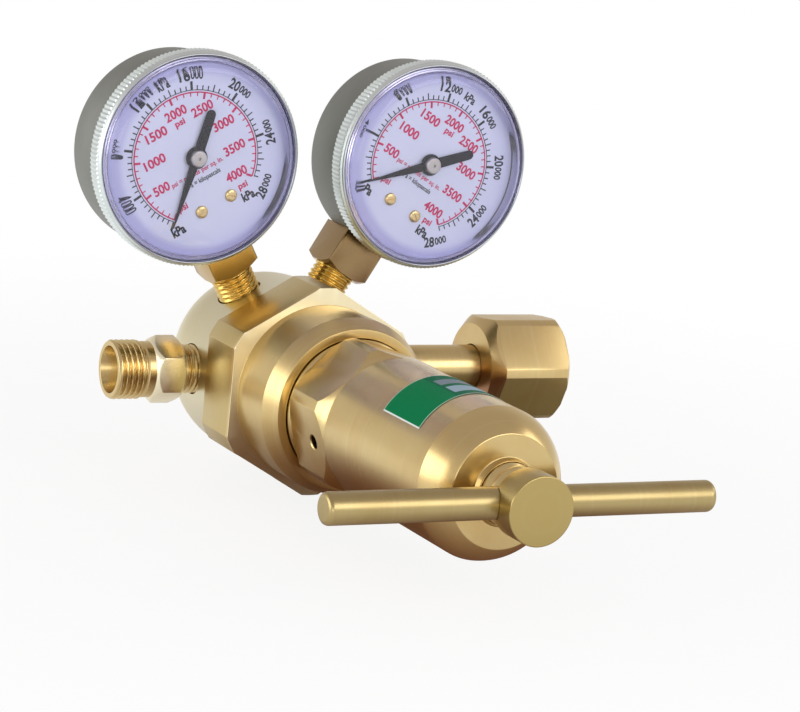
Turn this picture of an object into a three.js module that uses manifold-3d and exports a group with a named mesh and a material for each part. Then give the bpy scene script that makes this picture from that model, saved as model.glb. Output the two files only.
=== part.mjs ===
// High-pressure gas cylinder regulator with two dial gauges and a T-handle.
//
// Millimetres, +Z up. The spring housing and the handle point along -Y, the gauge faces look
// the same way, the outlet is at -X and the inlet at +X. The regulator is modelled around the
// point where the axes of its ports cross, and is then moved so that the origin lies in the
// mouth of the inlet nut, which is what holds the regulator up.

import * as THREE from 'three';
import { mergeVertices } from 'three/addons/utils/BufferGeometryUtils.js';
import Module from 'manifold-3d';

const wasm = await Module();
wasm.setup();

// ---------------------------------------------------------------- driving dimensions, in mm

// Clearances
const seatGap = 0.3;              // between faces that rest on or in each other
const runningGap = 0.06;          // between a turning shaft and its hole

// Body: a turned hexagon bar with a domed back and a round collar at the front
const bodyAcrossFlats = 60;
const bodyCornerRadius = 33.2;    // the bar's corners are turned down to this
const bodyHexFront = 34.7;        // distances in front of the ports are measured along -Y
const bodyHexLength = 20.2;
const domeRadius = 29.7;
const domeCentre = 7.7;           // behind the ports
const bodyBack = 34;              // behind the ports
const collarRadius = 27.8;
const collarLength = 18.3;
const rimRadius = 25.3;
const rimTaper = 6.3;
const portSinkDepth = 2.5;
const portSinkFlare = 1.8;

// Chambers inside the body
const lowChamberRadius = 10;
const lowChamberFront = 18;
const lowChamberBack = 2;
const highChamberRadius = 6.5;
const highChamberBack = 25;       // behind the ports
const passageRadius = 1.5;
const portDepth = 12.3;           // how deep a fitting screws in

// Nozzle, valve and sensing piston
const nozzleRadius = 8;
const nozzleLength = 7.5;
const nozzleHoleRadius = 2;
const valveStemRadius = 1.3;
const valveHeadRadius = 4;
const valveHeadLength = 3;
const valveSeatThickness = 1.6;
const valveSpringRadius = 3.6;
const valveSpringWire = 0.45;
const valveSpringTurns = 5;
const valveTravel = 0.8;
const sleeveRadius = 12;
const sleeveLength = 20;
const sleeveFlangeLength = 3.4;
const pistonRadius = 5;
const pistonPlateRadius = 16;
const pistonPlateThickness = 3;
const pistonLift = 3;             // free space behind the piston's plate
const sealWire = 0.65;
const sealGrooveLength = 2.6;

// Bonnet: the spring housing
const bonnetBaseRadius = 22.3;
const bonnetDepth = 15.6;         // how far it screws into the body
const bonnetHexGap = 1.5;         // from the body's rim to the hexagon
const bonnetAcrossFlats = 43;
const bonnetCornerRadius = 24;
const bonnetHexLength = 22.5;
const bonnetHexTurn = 14;         // degrees, seen from the front, to the left
const bonnetHexChamfer = 2.2;
const bonnetRadius = 22.3;
const bonnetLength = 95.7;        // from the body's rim to the nose
const noseRadius = 16.5;
const noseCurve = 18;
const noseLength = 9.4;           // of the curve, which starts with a crease
const bonnetWall = 3.8;
const noseThickness = 27;
const ventRadius = 2.1;
const ventAngle = 104;            // degrees from the top towards the left
const ventFromRim = 16.9;
const neckRadius = 9.9;
const neckLength = 2;

// Spring and its button
const springRadius = 12.6;
const springWire = 2;
const springTurns = 7;
const springLength = 55.4;
const buttonThickness = 5;

// Adjusting screw and T-bar
const screwRadius = 9;
const screwRootRadius = 7.8;
const screwPitch = 4;
const screwTipRadius = 4;
const headRadius = 9.95;
const headLength = 9.7;
const headChamfer = 0.5;
const headReach = 20.7;           // from the nose to the head's face
const barRadius = 4.55;
const barLength = 120.6;
const barChamfer = 0.9;
const barBehindHead = 10.4;       // from the head's face to the bar's centre

// Outlet fitting
const outletReach = 56.8;         // from the ports' centre to the mouth
const outletThreadRadius = 9.4;
const outletThreadRoot = 8.4;
const outletThreadPitch = 1.81;
const outletThreadCount = 5;
const outletCollarRadius = 8.9;
const outletAcrossFlats = 19.2;
const outletHexLength = 10.4;
const outletHexFrom = 33.8;       // from the ports' centre
const outletHexChamfer = 1.8;
const outletStemRadius = 7.8;
const outletBoreRadius = 3.2;
const outletConeMouth = 7.5;
const outletConeBottom = 5;
const outletConeDepth = 10;

// Inlet nipple, filter and nut
const nippleRadius = 7.35;
const nippleBoreRadius = 2.5;
const nippleShoulderRadius = 11.2;
const nippleShoulderLength = 4;
const nippleNoseRadius = 8;
const nippleNoseLength = 12;
const nippleNoseEnd = 4.6;
const filterRadius = 3;
const filterLength = 6;
const nutFrom = 72.4;             // from the ports' centre to the nut's back
const nutLength = 28.6;
const nutAcrossFlats = 33.3;
const nutCornerRadius = 18.4;
const nutBackRadius = 14.6;
const nutBackChamfer = 3.8;
const nutMouthChamfer = 1.4;
const nutWall = 3.6;              // the wall behind the nipple's shoulder
const nutThreadRadius = 12.6;
const nutTurn = 4.7;              // degrees that a corner is raised above the front

// Label round the bonnet
const labelFrom = 54;             // from the body's rim
const labelWidth = 22;
const labelLeft = 53.5;           // degrees from the top
const labelRight = 42;
const labelThickness = 0.2;

// Gauges
const gaugeTilt = 30;             // degrees from upright, to either side
const stemThreadShown = 7.2;      // thread between body and block
const stemThreadRadius = 6.85;
const stemThreadRoot = 6.2;
const stemThreadPitch = 1.6;
const blockWidth = 15.9;
const blockHeight = 12.5;
const blockChamfer = 1.6;
const socketNeckRadius = 5;
const socketNeckLength = 12.3;    // inside the case
const socketBoreRadius = 1.4;
const caseRadius = 31.3;
const caseWall = 1.2;
const caseBack = 7.5;             // behind the stem's axis
const caseFront = 16.4;           // in front of the stem's axis
const caseRound = 3;
const dialEdgeGap = 1.5;
const dialThickness = 0.7;
const dialFace = 16.3;            // in front of the stem's axis
const bezelRise = 2.1;            // its knurls stand out from the case by this
const bezelFront = 21;
const bezelLength = 7.3;
const bezelLip = 1;
const bezelCover = 1.1;           // its lip reaches in over the case's edge
const bezelChamfer = 0.9;
const bezelKnurls = 48;
const bezelKnurlDepth = 0.35;
const lensThickness = 1.5;
const lensOverhang = 0.2;
const lensRise = 2.7;             // its face stands out from the bezel by this
const lensRound = 3.8;
const gasketWidth = 1.6;

// Pointer and gauge movement
const pointerFace = 17.6;
const pointerThickness = 0.5;
const pointerShort = 5.8;         // from its tip to the dial's edge
const pointerTail = 14;
const pointerTailRadius = 1.5;
const pointerHubRadius = 3.1;
const pointerZero = 135;          // degrees to the left of the top
const capRadius = 2.7;
const capHeight = 0.7;
const dialScrewRadius = 2;
const dialScrewHeight = 0.8;
const dialScrewOffset = 5.4;
const dialScrewInset = 12.2;      // from the dial's bottom edge
const dialScrewShank = 0.8;
const arborRadius = 0.7;
const pinionTeeth = 10;
const sectorTeeth = 50;           // on the full circle that the sector is cut from
const toothTop = 0.25;            // above the pitch circle
const toothFoot = 0.4;            // below it
const sectorPivotX = -3;          // from the dial's centre
const sectorPivotZ = -11;
const sectorTeethBefore = 8;      // teeth that pass the pinion as the pointer rises
const sectorTeethAfter = 1;
const sectorThickness = 1.2;
const sectorBossRadius = 2;
const sectorTail = 5;
const sectorTailWidth = 3.6;
const sectorTailAngle = -27;      // degrees above the horizontal, at rest
const frontPlateAt = 12;
const backPlateAt = 1.8;
const plateThickness = 1;
const plateWidth = 21;
const plateTop = 5;
const plateInset = 4;             // from the top of the socket's neck
const postRadius = 1.2;
const footWidth = 8;
const footBack = 3;
const tubeInset = 11.3;           // from its middle to the case
const tubeWidth = 6;
const tubeDepth = 2;
const tubeFrom = -15.8;           // degrees past the bottom, to the right
const tubeTo = -258;
const tubeAt = 1;                 // its centre, behind the stem's axis
const linkThickness = 1;
const linkWidth = 2.4;

// Facets
const fine = 40;
const medium = 24;
const coarse = 16;

// ---------------------------------------------------------------- worked out from them

const bodyRim = bodyHexFront + collarLength + rimTaper;
const noseFront = bodyRim + bonnetLength;
const bonnetSeat = bodyRim - bonnetDepth;
const bonnetHexFrom = bodyRim + bonnetHexGap;
const bonnetBore = bonnetRadius - bonnetWall;
const sleeveFront = bonnetSeat - seatGap;
const sleeveSeat = sleeveFront - sleeveFlangeLength - seatGap;
const sleeveBack = sleeveFront - sleeveLength;
const pistonPlateBack = sleeveFront + pistonLift;
const pistonFront = pistonPlateBack + pistonPlateThickness;
const pistonBack = sleeveBack - 1;
const springBack = pistonFront + seatGap;
const springFront = springBack + springLength;
const buttonBack = springFront + seatGap;
const buttonFront = buttonBack + buttonThickness;
const screwTip = buttonFront + seatGap;
const headFace = noseFront + headReach;
const barAt = headFace - barBehindHead;
const portSeat = bodyAcrossFlats / 2 - portDepth;
const nozzleFront = lowChamberBack;
const nozzleBack = nozzleFront - nozzleLength;
const valveSeatFront = nozzleBack - seatGap;
const nutMouth = nutFrom + nutLength;
const shoulderFrom = nutFrom + nutWall + seatGap;
const noseFrom = shoulderFrom + nippleShoulderLength;
const nippleEnd = noseFrom + nippleNoseLength;
const stemSeat = portSeat + seatGap;
const socketNeckTop = caseRadius - socketNeckLength;
const dialRadius = caseRadius - caseWall - dialEdgeGap;
const dialScrewDrop = dialRadius - dialScrewInset;
const bezelRadius = caseRadius + bezelRise;
const bezelOpening = caseRadius - bezelCover;
const lensRadius = caseRadius + lensOverhang;
const pointerLength = dialRadius - pointerShort;
const tubeCoilRadius = caseRadius - tubeInset;
const plateBottom = socketNeckTop - plateInset;
const blockFrom = bodyAcrossFlats / 2 + stemThreadShown;
const gaugeReach = blockFrom + blockHeight + caseRadius;
const pointerBack = pointerFace - pointerThickness;
const pinionAt = (frontPlateAt + backPlateAt) / 2;
const gearDistance = Math.hypot(sectorPivotX, sectorPivotZ);
const pinionPitch = (gearDistance * pinionTeeth) / (pinionTeeth + sectorTeeth);
const sectorPitch = gearDistance - pinionPitch;

// ---------------------------------------------------------------- helpers

const degrees = (angle) => (angle * Math.PI) / 180;

// A closed solid from any closed three.js geometry, whichever way its faces turn.
function solid(geometry) {
  const bare = new THREE.BufferGeometry();
  bare.setAttribute('position', geometry.getAttribute('position').clone());
  if (geometry.index) bare.setIndex(geometry.index.clone());
  const merged = mergeVertices(bare, 1e-4);
  const points = merged.getAttribute('position');
  const triangles = [];
  const corners = [new THREE.Vector3(), new THREE.Vector3(), new THREE.Vector3()];
  let volume = 0;
  for (let i = 0; i < merged.index.count; i += 3) {
    const ids = [0, 1, 2].map((k) => merged.index.getX(i + k));
    if (new Set(ids).size < 3) continue;
    ids.forEach((id, k) => corners[k].fromBufferAttribute(points, id));
    volume += corners[0].dot(corners[1].clone().cross(corners[2]));
    triangles.push(ids);
  }
  const order = volume < 0 ? [0, 2, 1] : [0, 1, 2];
  const triVerts = new Uint32Array(triangles.flatMap((ids) => order.map((k) => ids[k])));
  const vertProperties = new Float32Array(points.array);
  return new wasm.Manifold(new wasm.Mesh({ numProp: 3, vertProperties, triVerts }));
}

// Geometry classes turn their shapes about Y, so other axes need a turn afterwards.
function along(axis, geometry) {
  if (axis === 'x') return geometry.rotateZ(-Math.PI / 2);
  if (axis === 'z') return geometry.rotateX(Math.PI / 2);
  return geometry;
}

// A turned piece. The profile holds [radius, distance along the axis], and starts and ends on
// the axis or closes on itself.
function turned(axis, profile, sides = medium) {
  const points = profile.map(([radius, at]) => new THREE.Vector2(Math.max(radius, 0), at));
  return solid(along(axis, new THREE.LatheGeometry(points, sides)));
}

function rod(axis, radius, from, to, sides = coarse) {
  return turned(axis, [[0, from], [radius, from], [radius, to], [0, to]], sides);
}

function ring(axis, inner, outer, from, to, sides = medium) {
  const profile = [[inner, from], [outer, from], [outer, to], [inner, to], [inner, from]];
  return turned(axis, profile, sides);
}

function hexagon(axis, acrossFlats, from, to, turn = 0) {
  const geometry = new THREE.CylinderGeometry(1, 1, Math.abs(to - from), 6);
  geometry.scale(acrossFlats / Math.sqrt(3), 1, acrossFlats / Math.sqrt(3));
  geometry.rotateY(degrees(turn)).translate(0, (from + to) / 2, 0);
  return solid(along(axis, geometry));
}

function block(width, depth, height, x, y, z) {
  return solid(new THREE.BoxGeometry(width, depth, height).translate(x, y, z));
}

// A flat shape, drawn as x and z seen from the front, with its front face at y = -front.
function plate(shape, front, thickness, curveSegments = 8) {
  const options = { depth: thickness, bevelEnabled: false, curveSegments };
  const geometry = new THREE.ExtrudeGeometry(shape, options);
  return solid(geometry.rotateX(Math.PI / 2).translate(0, -front + thickness, 0));
}

// A round hole or bar between two points.
function drilled(radius, from, to, sides = 12) {
  const a = new THREE.Vector3(...from);
  const b = new THREE.Vector3(...to);
  const geometry = new THREE.CylinderGeometry(radius, radius, a.distanceTo(b), sides);
  const turn = new THREE.Quaternion();
  turn.setFromUnitVectors(new THREE.Vector3(0, 1, 0), b.clone().sub(a).normalize());
  const middle = a.clone().add(b).multiplyScalar(0.5);
  geometry.applyQuaternion(turn).translate(middle.x, middle.y, middle.z);
  return solid(geometry);
}

// Ridges of a screw thread, as profile points from one end to the other.
function ridges(from, to, count, crest, root) {
  const step = (to - from) / count;
  const points = [];
  for (let i = 0; i < count; i += 1) {
    const start = from + i * step;
    points.push([root, start], [crest, start + step / 2]);
  }
  points.push([root, to]);
  return points;
}

// Points on an arc about [radius, at], with angles in degrees from the outward direction.
function arc([radius, at], size, from, to, steps) {
  return Array.from({ length: steps + 1 }, (_, i) => {
    const angle = degrees(from + ((to - from) * i) / steps);
    return [radius + size * Math.cos(angle), at + size * Math.sin(angle)];
  });
}

// A coil spring about Y, as one unbroken tube. Its wire keeps clear of both end faces.
function coil(radius, wire, turns, back, front, stepsPerTurn, sides) {
  const steps = Math.round(turns * stepsPerTurn);
  const start = back + wire;
  const climb = front - wire - start;
  const positions = [];
  for (let i = 0; i <= steps; i += 1) {
    const angle = (2 * Math.PI * turns * i) / steps;
    for (let k = 0; k < sides; k += 1) {
      const around = (2 * Math.PI * k) / sides;
      const reach = radius + wire * Math.cos(around);
      const at = start + (climb * i) / steps + wire * Math.sin(around);
      positions.push(reach * Math.sin(angle), -at, reach * Math.cos(angle));
    }
  }
  const index = [];
  for (let i = 0; i < steps; i += 1) {
    for (let k = 0; k < sides; k += 1) {
      const a = i * sides + k;
      const b = i * sides + ((k + 1) % sides);
      index.push(a, b, a + sides, b, b + sides, a + sides);
    }
  }
  for (let k = 1; k < sides - 1; k += 1) {
    const end = steps * sides;
    index.push(0, k + 1, k, end, end + k, end + k + 1);
  }
  const geometry = new THREE.BufferGeometry();
  geometry.setAttribute('position', new THREE.Float32BufferAttribute(positions, 3));
  geometry.setIndex(index);
  return solid(geometry);
}

// ---------------------------------------------------------------- materials

const finish = (color, roughness, metalness, extra = {}) =>
  new THREE.MeshStandardMaterial({ color, roughness, metalness, ...extra });

const brass = finish('#c9a86a', 0.32, 1);
const threadBrass = finish('#e0b030', 0.25, 1);
const steel = finish('#a9a8a4', 0.35, 1);
const springSteel = finish('#8a8a8c', 0.4, 1);
const caseMetal = finish('#8f9189', 0.45, 0.9);
const bezelMetal = finish('#d8dad6', 0.3, 0.9);
const clearLens = finish('#f4f6ff', 0.05, 0, { transparent: true, opacity: 0.25 });
const sealRubber = finish('#b4b7c6', 0.6, 0);
const dialWhite = finish('#c9c9e6', 0.6, 0);
const pointerBlack = finish('#16181c', 0.5, 0);
const labelGreen = finish('#078a58', 0.5, 0);
const seatPlastic = finish('#e9e6da', 0.5, 0);
const filterBronze = finish('#a5713a', 0.7, 0.8);

// ---------------------------------------------------------------- the group and its nodes

const ports = new THREE.Group();
ports.position.x = -nutMouth;

function add(group, name, manifold, material) {
  const mesh = manifold.getMesh();
  const geometry = new THREE.BufferGeometry();
  const positions = new THREE.Float32BufferAttribute(mesh.vertProperties, 3);
  geometry.setAttribute('position', positions);
  geometry.setIndex(Array.from(mesh.triVerts));
  const node = new THREE.Mesh(geometry, material);
  node.name = name;
  group.add(node);
  return node;
}

// ---------------------------------------------------------------- body

// The direction from the ports' centre to a gauge: side is -1 on the left and 1 on the right.
function gaugeDirection(side) {
  const tilt = degrees(gaugeTilt);
  return [side * Math.sin(tilt), 0, Math.cos(tilt)];
}

const along3 = (direction, distance, y = 0) =>
  [direction[0] * distance, y, direction[2] * distance];

// A threaded port: a bore with a countersink, drawn along +X and turned about Y afterwards.
function port(boreRadius, turnY) {
  const face = bodyAcrossFlats / 2 + 1;
  const sinkBottom = bodyAcrossFlats / 2 - portSinkDepth;
  const flare = boreRadius + portSinkFlare;
  const profile = [
    [0, portSeat], [boreRadius, portSeat], [boreRadius, sinkBottom],
    [flare, face], [flare, face + 4], [0, face + 4],
  ];
  return turned('x', profile, medium).rotate([0, turnY, 0]);
}

function makeBody() {
  const hexBack = bodyHexFront - bodyHexLength;
  const backSlope = Math.asin((bodyBack - domeCentre) / domeRadius) * (180 / Math.PI);
  const shell = turned('y', [
    [0, bodyBack],
    ...arc([0, domeCentre], domeRadius, backSlope, 0, 7),
    [domeRadius, -bodyHexFront + 1],
    [collarRadius, -bodyHexFront + 1],
    [collarRadius, -bodyHexFront - collarLength],
    [rimRadius, -bodyRim],
    [0, -bodyRim],
  ], fine);
  const bar = hexagon('y', bodyAcrossFlats, -bodyHexFront, -hexBack)
    .intersect(rod('y', bodyCornerRadius, -bodyHexFront - 1, -hexBack + 1, fine));
  const bores = turned('y', [
    [0, highChamberBack],
    [highChamberRadius, highChamberBack],
    [highChamberRadius, -nozzleBack],
    [nozzleRadius + seatGap, -nozzleBack],
    [nozzleRadius + seatGap, -nozzleFront],
    [lowChamberRadius, -nozzleFront],
    [lowChamberRadius, -lowChamberFront],
    [sleeveRadius + seatGap, -lowChamberFront],
    [sleeveRadius + seatGap, -sleeveSeat],
    [bonnetBaseRadius + seatGap, -sleeveSeat],
    [bonnetBaseRadius + seatGap, -bodyRim - 1],
    [0, -bodyRim - 1],
  ], fine);
  let body = shell.add(bar).subtract(bores);
  body = body.subtract(port(nippleRadius + seatGap, 0));
  body = body.subtract(port(outletStemRadius + seatGap, 180));
  for (const side of [-1, 1]) {
    body = body.subtract(port(stemThreadRadius + seatGap, side * gaugeTilt - 90));
  }
  const lowMiddle = (lowChamberFront + lowChamberBack) / 2;
  const highMiddle = (highChamberBack - nozzleBack) / 2;
  const [left, right] = [gaugeDirection(-1), gaugeDirection(1)];
  const passages = [
    [[portSeat + 1, 0, 0], [0, highMiddle, 0]],
    [along3(right, portSeat + 1), [0, highMiddle, 0]],
    [[-portSeat - 1, 0, 0], [0, -lowMiddle, 0]],
    [along3(left, portSeat + 1), [0, -lowMiddle, 0]],
  ];
  for (const [from, to] of passages) body = body.subtract(drilled(passageRadius, from, to));
  return body;
}

add(ports, 'body', makeBody(), brass);

// ---------------------------------------------------------------- bonnet

function makeBonnet() {
  const hexEnd = bonnetHexFrom + bonnetHexLength;
  const slope = Math.atan2(bonnetRadius - noseRadius, noseLength) * (180 / Math.PI);
  const chord = Math.hypot(bonnetRadius - noseRadius, noseLength);
  const bulge = Math.asin(chord / 2 / noseCurve) * (180 / Math.PI);
  const noseEnd = degrees(slope + bulge);
  const noseCentre = [
    noseRadius - noseCurve * Math.cos(noseEnd), -noseFront + noseCurve * Math.sin(noseEnd),
  ];
  const round = turned('y', [
    [0, -bonnetSeat],
    [bonnetBaseRadius, -bonnetSeat],
    [bonnetBaseRadius, -bonnetHexFrom + 0.6],
    [bonnetBaseRadius - 0.5, -bonnetHexFrom],
    [bonnetBaseRadius - 0.5, -hexEnd - 0.4],
    [bonnetRadius, -hexEnd - 1],
    ...arc(noseCentre, noseCurve, bulge - slope, -slope - bulge, 5),
    [neckRadius, -noseFront],
    [neckRadius - 0.8, -noseFront - neckLength],
    [0, -noseFront - neckLength],
  ], fine);
  const corners = turned('y', [
    [0, -bonnetHexFrom],
    [bonnetCornerRadius - bonnetHexChamfer, -bonnetHexFrom],
    [bonnetCornerRadius, -bonnetHexFrom - bonnetHexChamfer],
    [bonnetCornerRadius, -hexEnd + bonnetHexChamfer * 1.5],
    [bonnetCornerRadius - bonnetHexChamfer, -hexEnd],
    [0, -hexEnd],
  ], fine);
  const bar = hexagon('y', bonnetAcrossFlats, -bonnetHexFrom, -hexEnd, -bonnetHexTurn);
  const boreEnd = noseFront - noseThickness;
  const bore = turned('y', [
    [0, -bonnetSeat + 1],
    [bonnetBore, -bonnetSeat + 1],
    [bonnetBore, -boreEnd],
    [screwRadius + seatGap, -boreEnd],
    [screwRadius + seatGap, -noseFront - neckLength - 1],
    [0, -noseFront - neckLength - 1],
  ], fine);
  const ventOut = degrees(ventAngle);
  const ventAt = -bodyRim - ventFromRim;
  const outside = [-30 * Math.sin(ventOut), ventAt, 30 * Math.cos(ventOut)];
  const vent = drilled(ventRadius, [0, ventAt, 0], outside, coarse);
  return round.add(bar.intersect(corners)).subtract(bore).subtract(vent);
}

add(ports, 'bonnet', makeBonnet(), brass);

// ---------------------------------------------------------------- pressure parts inside

function makeNozzle() {
  return turned('y', [
    [nozzleHoleRadius, -nozzleFront + seatGap],
    [nozzleRadius, -nozzleFront + seatGap],
    [nozzleRadius, -nozzleBack - seatGap],
    [nozzleHoleRadius + 1, -nozzleBack - seatGap],
    [nozzleHoleRadius, -nozzleBack],
    [nozzleHoleRadius, -nozzleFront + seatGap],
  ], coarse);
}

function makeValve() {
  const headFrom = -valveSeatFront + valveSeatThickness + seatGap;
  const cup = valveHeadRadius - 1;
  return turned('y', [
    [0, -pistonBack + seatGap],
    [valveStemRadius, -pistonBack + seatGap],
    [valveStemRadius, headFrom],
    [cup, headFrom],
    [valveHeadRadius, headFrom + 1],
    [valveHeadRadius, headFrom + valveHeadLength],
    [0, headFrom + valveHeadLength],
  ], coarse);
}

function makePiston() {
  const grooveMiddle = (pistonBack + pistonPlateBack) / 2;
  const half = sealGrooveLength / 2;
  const groove = pistonRadius - sealWire * 2 - seatGap;
  return turned('y', [
    [0, -pistonBack],
    [pistonRadius, -pistonBack],
    [pistonRadius, -grooveMiddle + half],
    [groove, -grooveMiddle + half],
    [groove, -grooveMiddle - half],
    [pistonRadius, -grooveMiddle - half],
    [pistonRadius, -pistonPlateBack],
    [pistonPlateRadius, -pistonPlateBack],
    [pistonPlateRadius, -pistonFront],
    [0, -pistonFront],
  ], medium);
}

function makePistonSeal() {
  const middle = (pistonBack + pistonPlateBack) / 2;
  const centre = [pistonRadius - sealWire, -middle];
  return turned('y', arc(centre, sealWire, 0, 360, 8), medium);
}

function makeSleeve() {
  const bore = pistonRadius + seatGap;
  return turned('y', [
    [bore, -sleeveFront],
    [bonnetBaseRadius, -sleeveFront],
    [bonnetBaseRadius, -sleeveFront + sleeveFlangeLength],
    [sleeveRadius, -sleeveFront + sleeveFlangeLength],
    [sleeveRadius, -sleeveBack],
    [bore, -sleeveBack],
    [bore, -sleeveFront],
  ], medium);
}

function makeValveSpring() {
  const from = valveSeatFront - valveSeatThickness - seatGap - valveHeadLength - seatGap;
  return coil(valveSpringRadius, valveSpringWire, valveSpringTurns,
    -highChamberBack + seatGap, from, 10, 5);
}

add(ports, 'nozzle', makeNozzle(), brass);
add(ports, 'valve_seat', ring('y', valveStemRadius + seatGap, valveHeadRadius - 0.2,
  -valveSeatFront, -valveSeatFront + valveSeatThickness, coarse), seatPlastic);
add(ports, 'valve_poppet', makeValve(), steel);
add(ports, 'valve_spring', makeValveSpring(), springSteel);
add(ports, 'piston_sleeve', makeSleeve(), brass);
add(ports, 'piston', makePiston(), steel);
add(ports, 'piston_seal', makePistonSeal(), sealRubber);

// ---------------------------------------------------------------- spring, button and handle

function makeButton() {
  const dimple = screwTipRadius - 1;
  return turned('y', [
    [0, -buttonBack],
    [pistonPlateRadius, -buttonBack],
    [pistonPlateRadius, -buttonFront + 1],
    [pistonPlateRadius - 1, -buttonFront],
    [dimple, -buttonFront],
    [0, -buttonFront + 1],
  ], medium);
}

function makeScrew() {
  const headBack = headFace - headLength;
  const threadFrom = screwTip + (screwRadius - screwTipRadius);
  const count = Math.round((headBack - threadFrom) / screwPitch);
  const screw = turned('y', [
    [0, -screwTip],
    [screwTipRadius, -screwTip],
    ...ridges(-threadFrom, -headBack, count, screwRadius, screwRootRadius),
    [headRadius - headChamfer, -headBack],
    [headRadius, -headBack - headChamfer],
    [headRadius, -headFace + headChamfer],
    [headRadius - headChamfer, -headFace],
    [0, -headFace],
  ], medium);
  const crossHole = drilled(barRadius + seatGap, [-20, -barAt, 0], [20, -barAt, 0], coarse);
  return screw.subtract(crossHole);
}

function makeBar() {
  const half = barLength / 2;
  return turned('x', [
    [0, -half],
    [barRadius - barChamfer, -half],
    [barRadius, -half + barChamfer],
    [barRadius, half - barChamfer],
    [barRadius - barChamfer, half],
    [0, half],
  ], coarse).translate([0, -barAt, 0]);
}

add(ports, 'main_spring', coil(springRadius, springWire, springTurns,
  springBack, springFront, 12, 6), springSteel);
add(ports, 'spring_button', makeButton(), brass);
add(ports, 'adjusting_screw', makeScrew(), brass);
add(ports, 't_bar', makeBar(), brass);

// ---------------------------------------------------------------- outlet fitting

function makeOutlet() {
  const hexTo = outletHexFrom + outletHexLength;
  const threadFrom = outletReach - outletThreadPitch * outletThreadCount;
  const stemFrom = portSeat + seatGap;
  const corner = outletAcrossFlats / Math.sqrt(3);
  const round = turned('x', [
    [0, -stemFrom],
    [outletStemRadius, -stemFrom],
    [outletStemRadius, -outletHexFrom - 1],
    [outletCollarRadius, -outletHexFrom - 1],
    [outletCollarRadius, -threadFrom],
    ...ridges(-threadFrom, -outletReach, outletThreadCount, outletThreadRadius, outletThreadRoot),
    [0, -outletReach],
  ], medium);
  const hexEnds = turned('x', [
    [0, -outletHexFrom],
    [corner - outletHexChamfer, -outletHexFrom],
    [corner, -outletHexFrom - outletHexChamfer],
    [corner, -hexTo + outletHexChamfer],
    [corner - outletHexChamfer, -hexTo],
    [0, -hexTo],
  ], medium);
  const bar = hexagon('x', outletAcrossFlats, -outletHexFrom, -hexTo);
  const bore = turned('x', [
    [0, -stemFrom + 1],
    [outletBoreRadius, -stemFrom + 1],
    [outletBoreRadius, -outletReach + outletConeDepth],
    [outletConeBottom, -outletReach + outletConeDepth],
    [outletConeMouth, -outletReach],
    [outletConeMouth, -outletReach - 1],
    [0, -outletReach - 1],
  ], medium);
  return round.add(bar.intersect(hexEnds)).subtract(bore);
}

add(ports, 'outlet_fitting', makeOutlet(), threadBrass);

// ---------------------------------------------------------------- inlet nipple, filter, nut

function makeNipple() {
  const pocketFrom = nippleEnd - filterLength - seatGap * 2;
  return turned('x', [
    [nippleBoreRadius, portSeat + seatGap],
    [nippleRadius, portSeat + seatGap],
    [nippleRadius, shoulderFrom],
    [nippleShoulderRadius, shoulderFrom],
    [nippleShoulderRadius, noseFrom],
    [nippleNoseRadius, noseFrom],
    [nippleNoseRadius, nippleEnd - nippleNoseLength / 3],
    [nippleNoseEnd, nippleEnd],
    [filterRadius + seatGap, nippleEnd],
    [filterRadius + seatGap, pocketFrom],
    [nippleBoreRadius, pocketFrom],
    [nippleBoreRadius, portSeat + seatGap],
  ], medium);
}

function makeNut() {
  const turnedBar = turned('x', [
    [0, nutFrom],
    [nutBackRadius, nutFrom],
    [nutCornerRadius, nutFrom + nutBackChamfer],
    [nutCornerRadius, nutMouth - nutMouthChamfer],
    [nutCornerRadius - nutMouthChamfer, nutMouth],
    [0, nutMouth],
  ], fine);
  const bore = turned('x', [
    [0, nutFrom - 1],
    [nippleRadius + seatGap, nutFrom - 1],
    [nippleRadius + seatGap, nutFrom + nutWall],
    [nutThreadRadius, nutFrom + nutWall],
    [nutThreadRadius, nutMouth - 1],
    [nutThreadRadius + 1, nutMouth],
    [nutThreadRadius + 1, nutMouth + 1],
    [0, nutMouth + 1],
  ], medium);
  const bar = hexagon('x', nutAcrossFlats, nutFrom, nutMouth, 30 - nutTurn);
  return bar.intersect(turnedBar).subtract(bore);
}

add(ports, 'inlet_nipple', makeNipple(), brass);
add(ports, 'inlet_filter', rod('x', filterRadius, nippleEnd - filterLength - seatGap,
  nippleEnd - seatGap, coarse), filterBronze);
add(ports, 'inlet_nut', makeNut(), brass);

// ---------------------------------------------------------------- label

function makeLabel() {
  const from = bodyRim + labelFrom;
  const inner = bonnetRadius + seatGap;
  const shape = new THREE.Shape();
  const [left, right] = [degrees(90 + labelLeft), degrees(90 - labelRight)];
  shape.absarc(0, 0, inner + labelThickness, right, left, false);
  shape.absarc(0, 0, inner, left, right, true);
  return plate(shape, from + labelWidth, labelWidth, 24);
}

add(ports, 'label', makeLabel(), labelGreen);

// ---------------------------------------------------------------- gauges

// All gauge pieces are drawn upright about the dial's centre, with the stem's axis in the
// plane y = 0, and the whole gauge is then tilted to its port.

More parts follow.
